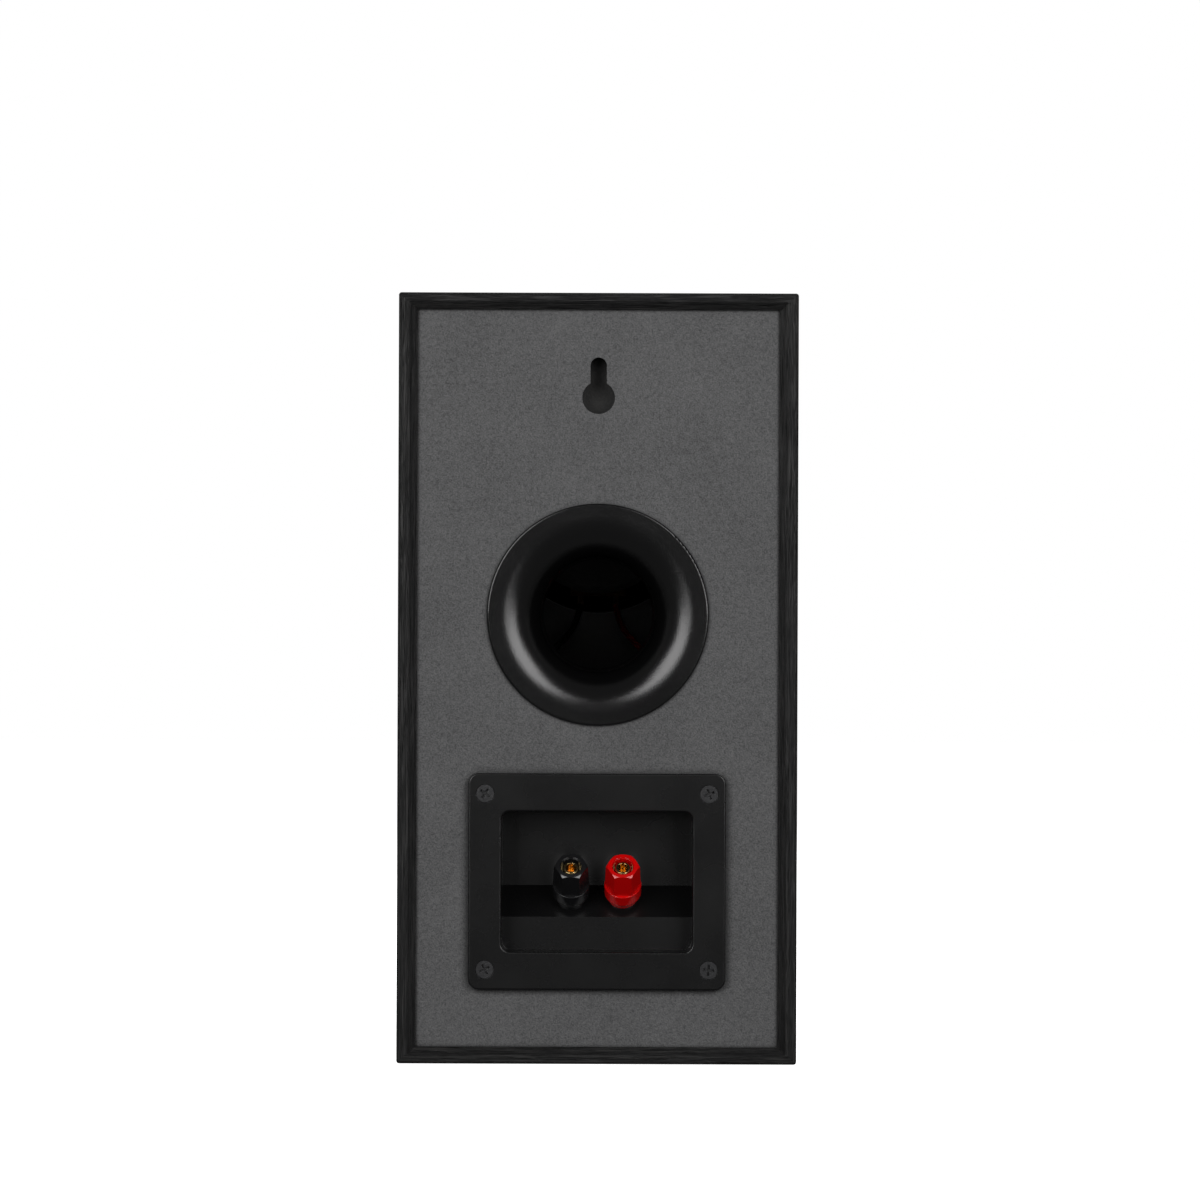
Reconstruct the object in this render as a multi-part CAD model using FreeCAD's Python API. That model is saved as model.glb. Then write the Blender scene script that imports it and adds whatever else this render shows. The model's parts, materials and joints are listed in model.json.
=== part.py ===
import FreeCAD, Part
import math
import os

Vec = FreeCAD.Vector

# A two-way bookshelf loudspeaker. Millimetres, +Z up, front towards -Y, rear towards +Y.
# The origin is the middle of the bottom of the whole object, grille included.

# ------------------------------------------------------------------ driving dimensions
# Cabinet: four mitred wall panels with a baffle and a rear panel glued into rabbets
cabinet_width = 146.0
cabinet_height = 281.5
cabinet_depth = 190.0
wall = 12.0
corner_round = 1.0
rim_edge_bevel = 0.8
lip_side = 6.8
lip_end = 6.0
lip_bevel = 2.8
rear_recess = 4.0
rear_panel_thickness = 12.0
front_recess = 3.0
baffle_thickness = 15.0

# Fits and screws
slip_gap = 0.05
seat_gap = 0.3
screw_radius = 1.9
screw_head_radius = 3.3
screw_length = 16.0
driver_screw_count = 4
driver_screw_first_angle = 45.0
cross_slot_width = 0.9
cross_slot_depth = 1.5
cross_reach_share = 0.6
cut_over = 1.0

# Keyhole slot routed in the rear panel for a wall screw
keyhole_drop = 38.1
keyhole_rise = 11.7
keyhole_entry_radius = 6.0
keyhole_neck_radius = 3.0
keyhole_lip = 3.5
keyhole_depth = 9.5

# Bass reflex port: a flared mouth pressed into the rear panel and a tube plugged into it
port_height = 164.0
port_flange_radius = 40.6
port_flange_thickness = 1.5
port_mouth_radius = 36.0
port_throat_radius = 21.0
port_flare_depth = 16.0
port_wall = 2.5
port_barrel_radius = 36.2
port_barrel_length = 9.0
port_length = 110.0
port_socket_length = 12.0
port_inner_flare = 8.0

# Terminal cup and its gasket
cup_height = 66.5
cup_plate_width = 94.0
cup_plate_height = 79.0
cup_plate_corner = 3.8
cup_plate_thickness = 2.4
cup_edge_round = 0.6
cup_wall = 2.2
cup_mouth_width = 69.9
cup_mouth_height = 51.4
cup_mouth_corner = 3.2
cup_step_height = 12.0
cup_step_depth = 13.0
cup_slope_rise = 11.2
cup_screw_spacing_x = 81.8
cup_screw_spacing_z = 64.3
cup_screw_length = 12.0
cup_screw_sink = 0.3
cup_screw_turn = 28.0
cup_hole_gap = 0.8
cup_gasket_thickness = 0.8
cup_gasket_inset = 0.4

# Binding posts, square to the cup's sloping face. Their lengths run along the post
post_tilt = 42.0
post_spacing = 19.05
post_rise = 2.0
stud_radius = 3.0
stud_outer_length = 17.1
stud_inner_length = 12.0
stud_collar_radius = 4.6
stud_collar_thickness = 0.8
socket_radius = 2.05
socket_depth = 12.0
wire_hole_radius = 1.0
wire_hole_height = 3.5
thread_pitch = 1.0
thread_depth = 0.4
thread_flank_share = 0.4
insulator_radius = 5.4
insulator_thickness = 1.4
insulator_boss_wall = 1.0
knob_skirt_radius = 6.8
knob_skirt_length = 5.6
knob_hex_length = 10.35
knob_hex_low_radius = 6.6
knob_hex_top_radius = 6.25
knob_foot_round = 1.2
knob_dish_depth = 0.5
knob_dish_rim = 1.4
knob_corner_slope = 0.8
insert_wall = 1.15
insert_length = 10.0
insert_inset = 0.4
knob_lip_gap = 0.8
post_washer_radius = 6.0
post_washer_thickness = 1.5
tab_thickness = 0.8
tab_ring_radius = 5.0
tab_width = 4.8
tab_length = 15.0
post_nut_across = 10.0
post_nut_thickness = 4.0

# Woofer. Depths run inwards from the baffle's face
woofer_height = 84.0
woofer_frame_radius = 55.0
woofer_screw_circle = 51.0
woofer_metal = 1.2
woofer_gasket_thickness = 1.0
woofer_ledge_radius = 47.5
woofer_ledge_drop = 2.0
woofer_ledge_width = 5.0
surround_thickness = 0.8
surround_outer_radius = 43.0
surround_inner_radius = 35.0
surround_lip = 2.5
cone_thickness = 0.6
cone_neck_depth = 19.0
coil_inner_radius = 12.4
former_thickness = 0.3
former_rise = 1.0
winding_thickness = 0.6
winding_length = 9.0
dust_cap_radius = 16.5
dust_cap_rise = 5.5
dust_cap_thickness = 0.5
spider_thickness = 0.5
spider_outer_radius = 27.5
spider_depth = 23.5
spider_waves = 3
spider_wave_height = 0.5
spider_inner_flat = 1.6
basket_shelf_width = 2.5
basket_shelf_step = 2.4
basket_window_margin = 3.6
basket_seat_depth = 30.0
basket_windows = 4
basket_window_angle = 58.0
gap_plate_radius = 30.0
gap_plate_thickness = 5.0
coil_gap = 0.6
magnet_radius = 36.0
magnet_hole_radius = 18.0
magnet_thickness = 13.0
yoke_radius = 32.0
yoke_thickness = 5.0
pole_gap = 0.4
pole_vent_radius = 3.0
magnet_chamfer = 1.0
woofer_screw_head_height = 2.2
woofer_screw_turn = 25.0
woofer_strip_size = (18.0, 2.0, 2.0)
woofer_tab_size = (2.4, 4.0, 0.8)
woofer_tab_spacing = 10.0

# Tweeter
tweeter_drop = 77.5
tweeter_plate_radius = 48.0
tweeter_plate_thickness = 3.0
tweeter_gasket_thickness = 1.0
tweeter_screw_circle = 44.0
tweeter_screw_turn = 35.0
waveguide_mouth_radius = 39.5
waveguide_throat_radius = 15.0
waveguide_throat_height = 1.0
waveguide_bulge = 1.2
waveguide_depth = 11.0
waveguide_wall = 2.2
dome_radius = 12.7
dome_rise = 4.2
dome_thickness = 0.3
dome_roll_radius = 1.05
dome_lip_width = 3.6
dome_lip_thickness = 0.4
tweeter_seat_height = 2.0
tweeter_gap_plate_radius = 30.0
tweeter_gap_plate_thickness = 4.0
tweeter_magnet_radius = 32.0
tweeter_magnet_thickness = 10.0
tweeter_yoke_thickness = 4.0
tweeter_pole_drop = 0.5
tweeter_coil_length = 5.8
tweeter_coil_inset = 0.25
tweeter_coil_thickness = 0.6
tweeter_plate_edge = 0.6
tweeter_strip_size = (22.0, 3.0)
tweeter_tab_size = (2.4, 4.0, 0.8)
tweeter_tab_spacing = 14.0

# Grille
grille_thickness = 9.0
grille_gap = 0.6
grille_border = 9.0
grille_corner = 2.5
grille_bar_width = 8.0
grille_cloth_thickness = 0.6
grille_cloth_round = 0.5
grille_wrap = 6.5
grille_pad_radius = 8.0
grille_magnet_radius = 5.0
grille_magnet_thickness = 3.0
grille_magnet_inset = 14.0
baffle_magnet_skin = 2.0

# Crossover board on the cabinet's floor
board_margin_x = 5.0
board_margin_y = 8.5
board_thickness = 1.6
board_middle_y = 22.0
board_part_gap = 1.0
standoff_height = 6.0
standoff_radius = 3.5
board_screw_radius = 1.5
board_screw_head_radius = 2.8
board_screw_head_height = 1.8
board_screw_length = 14.0
board_screw_inset = 5.0
bobbin_radius = 14.0
bobbin_core_radius = 6.0
bobbin_height = 18.0
bobbin_bore_radius = 3.0
bobbin_flange = 1.5
winding_side_gap = 1.0
capacitor_radius = 8.0
capacitor_length = 28.0
capacitor_round = 1.0
resistor_size = (8.0, 22.0, 8.0)
resistor_chamfer = 0.8

# Polyester wadding in the top of the cabinet
wadding_size = (112.0, 104.0, 64.0)
wadding_middle_y = 24.0
wadding_top_gap = 3.0
wadding_round = 12.0

# Leads inside the cabinet. Each route's points follow the tab that the lead starts on
lead_radius = 1.2
lead_arc_share = 0.45
input_route = [(9.5, 59.4, 73.8), (9.5, 44.0, 74.0), (9.5, 37.0, 58.0), (9.5, 46.0, 38.0)]
input_landing = (9.5, 49.0)
woofer_route = [(5.5, -65.0, 40.0), (7.0, -54.0, 30.0), (9.5, -34.0, 30.0), (9.5, -14.0, 33.0)]
woofer_landing = (9.5, -5.0)
tweeter_route = [(9.5, -63.0, 158.0), (20.0, -50.0, 147.0), (36.0, -34.0, 132.0), (44.0, -20.0, 106.0),
                 (43.0, -12.0, 76.0), (38.0, -8.0, 48.0), (27.0, -5.0, 31.0)]
tweeter_landing = (24.0, -5.0)

# ------------------------------------------------------------------ places worked out from them
grille_proud = grille_thickness - front_recess
rear_y = (cabinet_depth + grille_proud) / 2
front_y = rear_y - cabinet_depth
rear_face_y = rear_y - rear_recess
rear_panel_inner_y = rear_face_y - rear_panel_thickness
baffle_y = front_y + front_recess
baffle_inner_y = baffle_y + baffle_thickness
panel_width = cabinet_width - 2 * lip_side
panel_height = cabinet_height - 2 * lip_end
keyhole_z = cabinet_height - keyhole_drop
tweeter_z = cabinet_height - tweeter_drop
cup_face_y = rear_face_y + cup_gasket_thickness + cup_plate_thickness
tilt = math.radians(post_tilt)
cup_deep = cup_step_depth + cup_slope_rise * math.tan(tilt)
cup_slope_low = -cup_mouth_height / 2 + cup_step_height
cup_slope_high = cup_slope_low + cup_slope_rise
knob_foot = insulator_thickness + stud_collar_thickness
knob_top = knob_foot + knob_skirt_length + knob_hex_length
insert_radius = stud_radius + slip_gap + insert_wall
pole_radius = coil_inner_radius - pole_gap
cone_rim_radius = surround_inner_radius - surround_lip
cone_flat = -woofer_ledge_drop - slip_gap
coil_radius = coil_inner_radius + former_thickness
winding_radius = coil_radius + winding_thickness
gap_plate_depth = basket_seat_depth + woofer_metal
magnet_depth = gap_plate_depth + gap_plate_thickness
yoke_depth = magnet_depth + magnet_thickness
winding_low = -gap_plate_depth - (gap_plate_thickness + winding_length) / 2
basket_wall_radius = spider_outer_radius + slip_gap + woofer_metal
dome_coil_inner = dome_radius - tweeter_coil_inset
dome_coil_outer = dome_coil_inner + tweeter_coil_thickness
post_places = (-post_spacing / 2, post_spacing / 2)
board_width = resistor_size[0] + 4 * bobbin_radius + 2 * board_part_gap + 2 * board_margin_x
board_depth = 2 * bobbin_radius + 2 * capacitor_radius + board_part_gap + 2 * board_margin_y
board_top = wall + standoff_height + board_thickness


# ------------------------------------------------------------------ helpers
def outward_frame(y, z, front=False, x=0.0, tilt_degrees=0.0):
    """Local X is right and Y up as a viewer facing that side sees it, and Z comes out at them."""
    side = -1.0 if front else 1.0
    angle = math.radians(tilt_degrees)
    right = Vec(-side, 0, 0)
    outward = Vec(0, side * math.cos(angle), math.sin(angle))
    up = outward.cross(right)
    return FreeCAD.Placement(Vec(x, y, z), FreeCAD.Rotation(right, up, outward, "ZXY"))


def upward_frame(x, y, z):
    return FreeCAD.Placement(Vec(x, y, z), FreeCAD.Rotation())


def placed(shape, frame):
    moved = shape.copy()
    moved.Placement = frame.multiply(moved.Placement)
    return moved


def block(x, y, z):
    """A box between a low and a high value on each axis."""
    return Part.makeBox(x[1] - x[0], y[1] - y[0], z[1] - z[0], Vec(x[0], y[0], z[0]))


def rod(radius, low, high, x=0.0, y=0.0):
    return Part.makeCylinder(radius, high - low, Vec(x, y, low))


def ring(inner, outer, low, high, x=0.0, y=0.0):
    return rod(outer, low, high, x, y).cut(rod(inner, low, high, x, y))


def outline(start, steps):
    """A closed wire in the XZ plane. A step is a point, or (through, end) for an arc."""
    edges, here = [], Vec(start[0], 0, start[1])
    for step in [*steps, start]:
        if isinstance(step[0], tuple):
            through, end = (Vec(p[0], 0, p[1]) for p in step)
            edges.append(Part.Arc(here, through, end).toShape())
        else:
            end = Vec(step[0], 0, step[1])
            if here.distanceToPoint(end) < 1e-9:
                continue
            edges.append(Part.LineSegment(here, end).toShape())
        here = end
    return Part.Wire(edges)


def turned(start, *steps):
    """A solid of revolution about Z from an outline in (radius, height)."""
    face = Part.Face(outline(start, steps))
    return face.revolve(Vec(0, 0, 0), Vec(0, 0, 1), 360)


def rounded_plate(width, height, corner, low, high):
    """A plate in the XY plane with rounded corners, from low to high along Z."""
    plate = block((-width / 2, width / 2), (-height / 2, height / 2), (low, high))
    upright = [e for e in plate.Edges if abs(e.Vertexes[0].Z - e.Vertexes[1].Z) > 1e-6]
    return plate.makeFillet(corner, upright)


def edges_at(shape, level):
    """The edges that lie in the plane Z = level."""
    def flat(edge):
        box = edge.BoundBox
        return abs(box.ZMin - level) < 1e-4 and abs(box.ZMax - level) < 1e-4
    return [e for e in shape.Edges if flat(e)]


def at_corners(half_x, half_y):
    return [(x, y) for x in (-half_x, half_x) for y in (-half_y, half_y)]


def on_circle(radius, count, first_degrees):
    angles = [math.radians(first_degrees + 360.0 * i / count) for i in range(count)]
    return [(radius * math.cos(a), radius * math.sin(a)) for a in angles]


def driver_screw_places(circle):
    return on_circle(circle, driver_screw_count, driver_screw_first_angle)


def cross_recess(top, reach):
    """A cross-head driver recess, cut down from the height top."""
    depth = (top - cross_slot_depth, top + cut_over)
    half = cross_slot_width / 2
    return block((-reach, reach), (-half, half), depth).fuse(block((-half, half), (-reach, reach), depth))


def countersunk_screw(length):
    """A screw with its flat head's top at height 0 and its tip at -length."""
    cone = screw_head_radius - screw_radius
    body = turned((0, 0), (screw_head_radius, 0), (screw_radius, -cone),
                  (screw_radius, -length + screw_radius), (0, -length))
    return body.cut(cross_recess(0, screw_head_radius * cross_reach_share))


def dome_through(radius, height):
    """A point half way out on the round dome that rises to height at the middle and to 0 at radius."""
    ball = (radius ** 2 + height ** 2) / (2 * height)
    half = radius / 2
    return half, math.sqrt(ball ** 2 - half ** 2) - ball + height


def pan_screw(shank_radius, head_radius, head_height, length):
    """A screw with the underside of its domed head at height 0."""
    side = head_height / 3
    through = dome_through(head_radius, head_height - side)
    body = turned((0, head_height), ((through[0], side + through[1]), (head_radius, side)),
                  (head_radius, 0), (shank_radius, 0), (shank_radius, -length + shank_radius),
                  (0, -length))
    return body.cut(cross_recess(head_height, head_radius * cross_reach_share))


def shallow_dome(radius, rise, thickness, level):
    """A thin domed cap whose rim rests at a level."""
    inner = radius - thickness
    inside, outside = dome_through(inner, rise), dome_through(radius, rise + thickness)
    return turned((0, level + rise), ((inside[0], level + inside[1]), (inner, level)), (radius, level),
                  ((outside[0], level + outside[1]), (0, level + rise + thickness)))


def driven(screw, places, turn_step, frame):
    """Copies of a screw at places in a frame, each stopped at a different angle."""
    screws = []
    for i, (x, y) in enumerate(places):
        copy = screw.copy()
        copy.rotate(Vec(0, 0, 0), Vec(0, 0, 1), turn_step * (i + 1))
        copy.translate(Vec(x, y, 0))
        screws.append(placed(copy, frame))
    return screws


def countersunk_hole(through):
    """What a countersunk screw needs cut away, from height 0 down."""
    top = screw_head_radius + slip_gap
    low = screw_radius + slip_gap
    return turned((0, cut_over), (top, cut_over), (top, 0), (low, low - top), (low, -through), (0, -through))


def swept_lead(points):
    """A round lead along straight runs joined by tangent arcs, as large as the runs allow."""
    points = [Vec(*p) for p in points]
    edges, radii, here = [], [], points[0]
    for before, corner, after in zip(points, points[1:], points[2:]):
        way_in, way_out = corner - before, after - corner
        half_turn = way_in.getAngle(way_out) / 2
        setback = lead_arc_share * min(way_in.Length, way_out.Length)
        radius = setback / math.tan(half_turn)
        way_in.normalize()
        way_out.normalize()
        inside = way_out - way_in
        inside.normalize()
        start, end = corner - way_in * setback, corner + way_out * setback
        middle = corner + inside * (radius / math.cos(half_turn) - radius)
        edges += [Part.LineSegment(here, start).toShape(), Part.Arc(start, middle, end).toShape()]
        radii.append(round(radius, 1))
        here = end
    edges.append(Part.LineSegment(here, points[-1]).toShape())
    path = Part.Wire(edges)
    section = Part.Wire(Part.Circle(points[0], points[1] - points[0], lead_radius).toShape())
    tube = path.makePipeShell([section], True, False)
    expected = math.pi * lead_radius ** 2 * path.Length
    print(f"lead: length {path.Length:.0f}, radii {radii}, volume ratio {tube.Volume / expected:.4f}")
    return tube


# ------------------------------------------------------------------ cabinet
def end_opening(y_end, recess, thickness, inward):
    """The rabbet for a panel at one end of the cabinet, with the bevel that leads into it."""
    deep = y_end + inward * (recess + thickness)
    half = panel_width / 2
    rabbet = block((-half, half), sorted((y_end, deep)), (lip_end, cabinet_height - lip_end))
    wide = half + lip_bevel
    low, high = lip_end - lip_bevel, cabinet_height - lip_end + lip_bevel
    inner = (-half, half, lip_end, cabinet_height - lip_end)
    outer = (-wide, wide, low, high)
    y_bevel = y_end + inward * lip_bevel
    first, second = (inner, outer) if y_bevel < y_end else (outer, inner)
    y_low, y_high = sorted((y_bevel, y_end))
    bevel = Part.makeWedge(first[0], y_low, first[2], second[2], second[0],
                           first[1], y_high, first[3], second[3], second[1])
    return [rabbet, bevel]


def cabinet_walls():
    """The four wall panels, cut from one sleeve at the mitres."""
    frame = outward_frame(rear_y, cabinet_height / 2)
    outer = rounded_plate(cabinet_width, cabinet_height, corner_round, -cabinet_depth, 0)
    outer = outer.makeChamfer(rim_edge_bevel, edges_at(outer, 0) + edges_at(outer, -cabinet_depth))
    inner = block((-cabinet_width / 2 + wall, cabinet_width / 2 - wall), (front_y, rear_y),
                  (wall, cabinet_height - wall))
    sleeve = placed(outer, frame).cut([inner, *end_opening(rear_y, rear_recess, rear_panel_thickness, -1),
                                       *end_opening(front_y, front_recess, baffle_thickness, 1)])
    reach = 2 * wall
    left, right, top = -cabinet_width / 2, cabinet_width / 2, cabinet_height
    far, near = wall, reach
    corners = {
        "top_panel": [(left - far, top + far), (right + far, top + far), (right - near, top - near),
                      (left + near, top - near)],
        "bottom_panel": [(left - far, -far), (right + far, -far), (right - near, near), (left + near, near)],
        "left_side_panel": [(left - far, -far), (left - far, top + far), (left + near, top - near),
                            (left + near, near)],
        "right_side_panel": [(right + far, -far), (right + far, top + far), (right - near, top - near),
                             (right - near, near)],
    }
    panels = {}
    for name, points in corners.items():
        face = Part.Face(outline(points[0], points[1:]))
        mould = face.extrude(Vec(0, cabinet_depth, 0))
        mould.translate(Vec(0, front_y, 0))
        panels[name] = sleeve.common(mould)
    return panels


def panel_blank(y_low, thickness):
    half = panel_width / 2
    return block((-half, half), (y_low, y_low + thickness), (lip_end, cabinet_height - lip_end))


def keyhole():
    """The routed keyhole, from the panel's face inwards: an entry, a narrow neck and an undercut."""
    def slot(radius, low, high):
        bar = block((-radius, radius), (0, keyhole_rise), (low, high))
        return bar.fuse([rod(radius, low, high), rod(radius, low, high, 0, keyhole_rise)])
    entry = rod(keyhole_entry_radius, -keyhole_depth, cut_over)
    neck = slot(keyhole_neck_radius, -keyhole_depth, cut_over)
    undercut = slot(keyhole_entry_radius, -keyhole_depth, -keyhole_lip)
    return entry.fuse([neck, undercut])


def cup_opening(low, high):
    """The rounded opening that the cup's body passes through."""
    around = cup_wall + cup_hole_gap
    return rounded_plate(cup_mouth_width + 2 * around, cup_mouth_height + 2 * around,
                         cup_mouth_corner + around, low, high)


def cup_screw_places():
    return at_corners(cup_screw_spacing_x / 2, cup_screw_spacing_z / 2)


def rear_panel():
    panel = panel_blank(rear_panel_inner_y, rear_panel_thickness)
    through = -rear_panel_thickness - cut_over
    port_hole = rod(port_barrel_radius + slip_gap, through, cut_over)
    cup_hole = cup_opening(through, cut_over)
    pilot_depth = cup_screw_length + cup_screw_sink - cup_plate_thickness - cup_gasket_thickness + slip_gap
    pilots = [rod(screw_radius + slip_gap, -pilot_depth, cut_over, x, y) for x, y in cup_screw_places()]
    cup_frame = outward_frame(rear_face_y, cup_height)
    cuts = [placed(keyhole(), outward_frame(rear_face_y, keyhole_z)),
            placed(port_hole, outward_frame(rear_face_y, port_height))]
    cuts += [placed(s, cup_frame) for s in [cup_hole, *pilots]]
    return panel.cut(cuts)


def magnet_places():
    """The four places of the grille's magnets on the baffle, as (x, z)."""
    half_x = panel_width / 2 - grille_magnet_inset
    half_z = panel_height / 2 - grille_magnet_inset
    return [(x, cabinet_height / 2 + z) for x, z in at_corners(half_x, half_z)]


def front_baffle():
    baffle = panel_blank(baffle_y, baffle_thickness)
    cuts = []
    drivers = [
        (woofer_height, woofer_frame_radius, woofer_metal + woofer_gasket_thickness,
         woofer_ledge_radius + woofer_metal + seat_gap, woofer_screw_circle),
        (tweeter_z, tweeter_plate_radius, tweeter_plate_thickness + tweeter_gasket_thickness,
         waveguide_mouth_radius + seat_gap, tweeter_screw_circle),
    ]
    for height, radius, seat_depth, hole_radius, screw_circle in drivers:
        frame = outward_frame(baffle_y, height, front=True)
        cuts.append(placed(rod(radius + seat_gap, -seat_depth, cut_over), frame))
        cuts.append(placed(rod(hole_radius, -baffle_thickness - cut_over, cut_over), frame))
        for x, y in driver_screw_places(screw_circle):
            pilot = rod(screw_radius + slip_gap, -screw_length - slip_gap, 0, x, y)
            cuts.append(placed(pilot, frame))
    for x, z in magnet_places():
        pocket = rod(grille_magnet_radius + slip_gap, -baffle_thickness - cut_over, -baffle_magnet_skin)
        cuts.append(placed(pocket, outward_frame(baffle_y, z, front=True, x=x)))
    return baffle.cut(cuts)


def baffle_magnets():
    """Discs in blind pockets behind the baffle's skin."""
    low = -baffle_magnet_skin - grille_magnet_thickness
    disc = rod(grille_magnet_radius, low, -baffle_magnet_skin)
    return [placed(disc, outward_frame(baffle_y, z, front=True, x=x)) for x, z in magnet_places()]


def wadding():
    width, depth, height = wadding_size
    top = cabinet_height - wall - wadding_top_gap
    middle = wadding_middle_y
    solid = block((-width / 2, width / 2), (middle - depth / 2, middle + depth / 2), (top - height, top))
    return solid.makeFillet(wadding_round, solid.Edges)


# ------------------------------------------------------------------ port
def port_flare():
    """The mouth: a flange on the panel, a quarter-ellipse flare and a socket for the tube."""
    top = port_flange_thickness
    flare_low = top - port_flare_depth
    flare = Part.Ellipse(Vec(port_mouth_radius, 0, flare_low),
                         max(port_flare_depth, port_mouth_radius - port_throat_radius),
                         min(port_flare_depth, port_mouth_radius - port_throat_radius))
    flare.rotate(FreeCAD.Placement(Vec(port_mouth_radius, 0, flare_low),
                                   FreeCAD.Rotation(Vec(1, 0, 0), 90)))
    flare.rotate(FreeCAD.Placement(Vec(port_mouth_radius, 0, flare_low),
                                   FreeCAD.Rotation(Vec(0, 1, 0), 90)))
    start, end = flare.parameter(Vec(port_mouth_radius, 0, top)), flare.parameter(
        Vec(port_throat_radius, 0, flare_low))
    if start > end:
        start, end = end, start
    if end - start > math.pi:
        start, end = end, start + 2 * math.pi
    curve = flare.toShape(start, end)
    tube_outer = port_throat_radius + port_wall
    socket_outer = tube_outer + slip_gap + port_wall
    socket_low = flare_low - port_socket_length
    edge = port_flange_thickness / 2
    rim = port_flange_radius - edge
    points = [(port_throat_radius, flare_low), (tube_outer + slip_gap, flare_low),
              (tube_outer + slip_gap, socket_low), (socket_outer, socket_low),
              (socket_outer, flare_low + port_wall), (port_barrel_radius, -port_barrel_length),
              (port_barrel_radius, 0), (port_flange_radius, 0), (port_flange_radius, edge)]
    edges = [Part.LineSegment(Vec(a[0], 0, a[1]), Vec(b[0], 0, b[1])).toShape()
             for a, b in zip(points, points[1:])]
    bend = edge * (1 - math.sqrt(0.5))
    edges.append(Part.Arc(Vec(port_flange_radius, 0, edge), Vec(port_flange_radius - bend, 0, top - bend),
                          Vec(rim, 0, top)).toShape())
    edges.append(Part.LineSegment(Vec(rim, 0, top), Vec(port_mouth_radius, 0, top)).toShape())
    wire = Part.Wire(Part.__sortEdges__([curve, *edges]))
    solid = Part.Face(wire).revolve(Vec(0, 0, 0), Vec(0, 0, 1), 360)
    return placed(solid, outward_frame(rear_face_y, port_height))


def port_tube():
    """The straight tube, with a rounded flare at its inner end."""
    top = port_flange_thickness - port_flare_depth
    low = port_flange_thickness - port_length
    inner, outer = port_throat_radius, port_throat_radius + port_wall
    turn = low + port_inner_flare
    bend = port_inner_flare * (1 - math.sqrt(0.5))
    outer_bend = (port_inner_flare - port_wall) * (1 - math.sqrt(0.5))
    solid = turned((inner, top), (outer, top), (outer, turn),
                   ((outer + outer_bend, turn - (port_inner_flare - port_wall) + outer_bend),
                    (outer + port_inner_flare - port_wall, low + port_wall)),
                   (inner + port_inner_flare, low),
                   ((inner + bend, low + bend), (inner, turn)))
    return placed(solid, outward_frame(rear_face_y, port_height))


# ------------------------------------------------------------------ terminal cup and binding posts
def cup_profile(margin):
    """The cup's side outline grown by margin, as (up, out): a low step, a slope and a deep wall."""
    shift = margin * math.tan(tilt / 2)
    low, high = -cup_mouth_height / 2 - margin, cup_mouth_height / 2 + margin
    step, deep = -cup_step_depth - margin, -cup_deep - margin
    return [(low, cut_over), (low, step), (cup_slope_low - shift, step),
            (cup_slope_high - shift, deep), (high, deep), (high, cut_over)]


def cup_form(margin):
    """A solid of the cup's hollow, grown by margin."""
    width = cup_mouth_width + 2 * margin
    height = cup_mouth_height + 2 * margin
    prism = rounded_plate(width, height, cup_mouth_corner + margin, -cup_deep - margin, cut_over)
    corners = [Vec(-width, up, out) for up, out in cup_profile(margin)]
    side = Part.Face(Part.makePolygon([*corners, corners[0]]))
    return prism.common(side.extrude(Vec(2 * width, 0, 0)))


def post_frame(x):
    """The frame of a binding post in the cup: Z along the post, 0 on the slope."""
    up = (cup_slope_low + cup_slope_high) / 2 + post_rise * math.cos(tilt)
    out = -(cup_step_depth + cup_deep) / 2 - post_rise * math.sin(tilt)
    return outward_frame(cup_face_y + out, cup_height + up, x=x, tilt_degrees=post_tilt)


def terminal_cup():
    plate = rounded_plate(cup_plate_width, cup_plate_height, cup_plate_corner, -cup_plate_thickness, 0)
    plate = plate.makeFillet(cup_edge_round, edges_at(plate, 0))
    trim = block((-cup_plate_width, cup_plate_width), (-cup_plate_height, cup_plate_height),
                 (-cup_plate_thickness / 2, 2 * cut_over))
    body = plate.fuse(cup_form(cup_wall).cut(trim))
    body = body.cut(cup_form(0.0))
    half = cup_mouth_width / 2 + cup_wall
    mouth = [e for e in edges_at(body, 0) if max(abs(e.BoundBox.XMin), abs(e.BoundBox.XMax)) < half]
    body = body.makeFillet(cup_edge_round, mouth)
    holes = []
    for x, y in cup_screw_places():
        hole = countersunk_hole(cup_plate_thickness + cut_over)
        hole.translate(Vec(x, y, -cup_screw_sink))
        holes.append(hole)
    cup = placed(body.cut(holes), outward_frame(cup_face_y, cup_height))
    boss = rod(stud_radius + insulator_boss_wall + 2 * slip_gap, -cup_wall - cut_over, cut_over)
    return cup.cut([placed(boss, post_frame(x)) for x in post_places])


def terminal_gasket():
    outer = rounded_plate(cup_plate_width - 2 * cup_gasket_inset, cup_plate_height - 2 * cup_gasket_inset,
                          cup_plate_corner - cup_gasket_inset, 0, cup_gasket_thickness)
    low, high = -cut_over, cup_gasket_thickness + cut_over
    holes = [rod(screw_radius + slip_gap, low, high, x, y) for x, y in cup_screw_places()]
    return placed(outer.cut([cup_opening(low, high), *holes]), outward_frame(rear_face_y, cup_height))


def cup_screws():
    frame = outward_frame(cup_face_y - cup_screw_sink, cup_height)
    return driven(countersunk_screw(cup_screw_length), cup_screw_places(), cup_screw_turn, frame)


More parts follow.
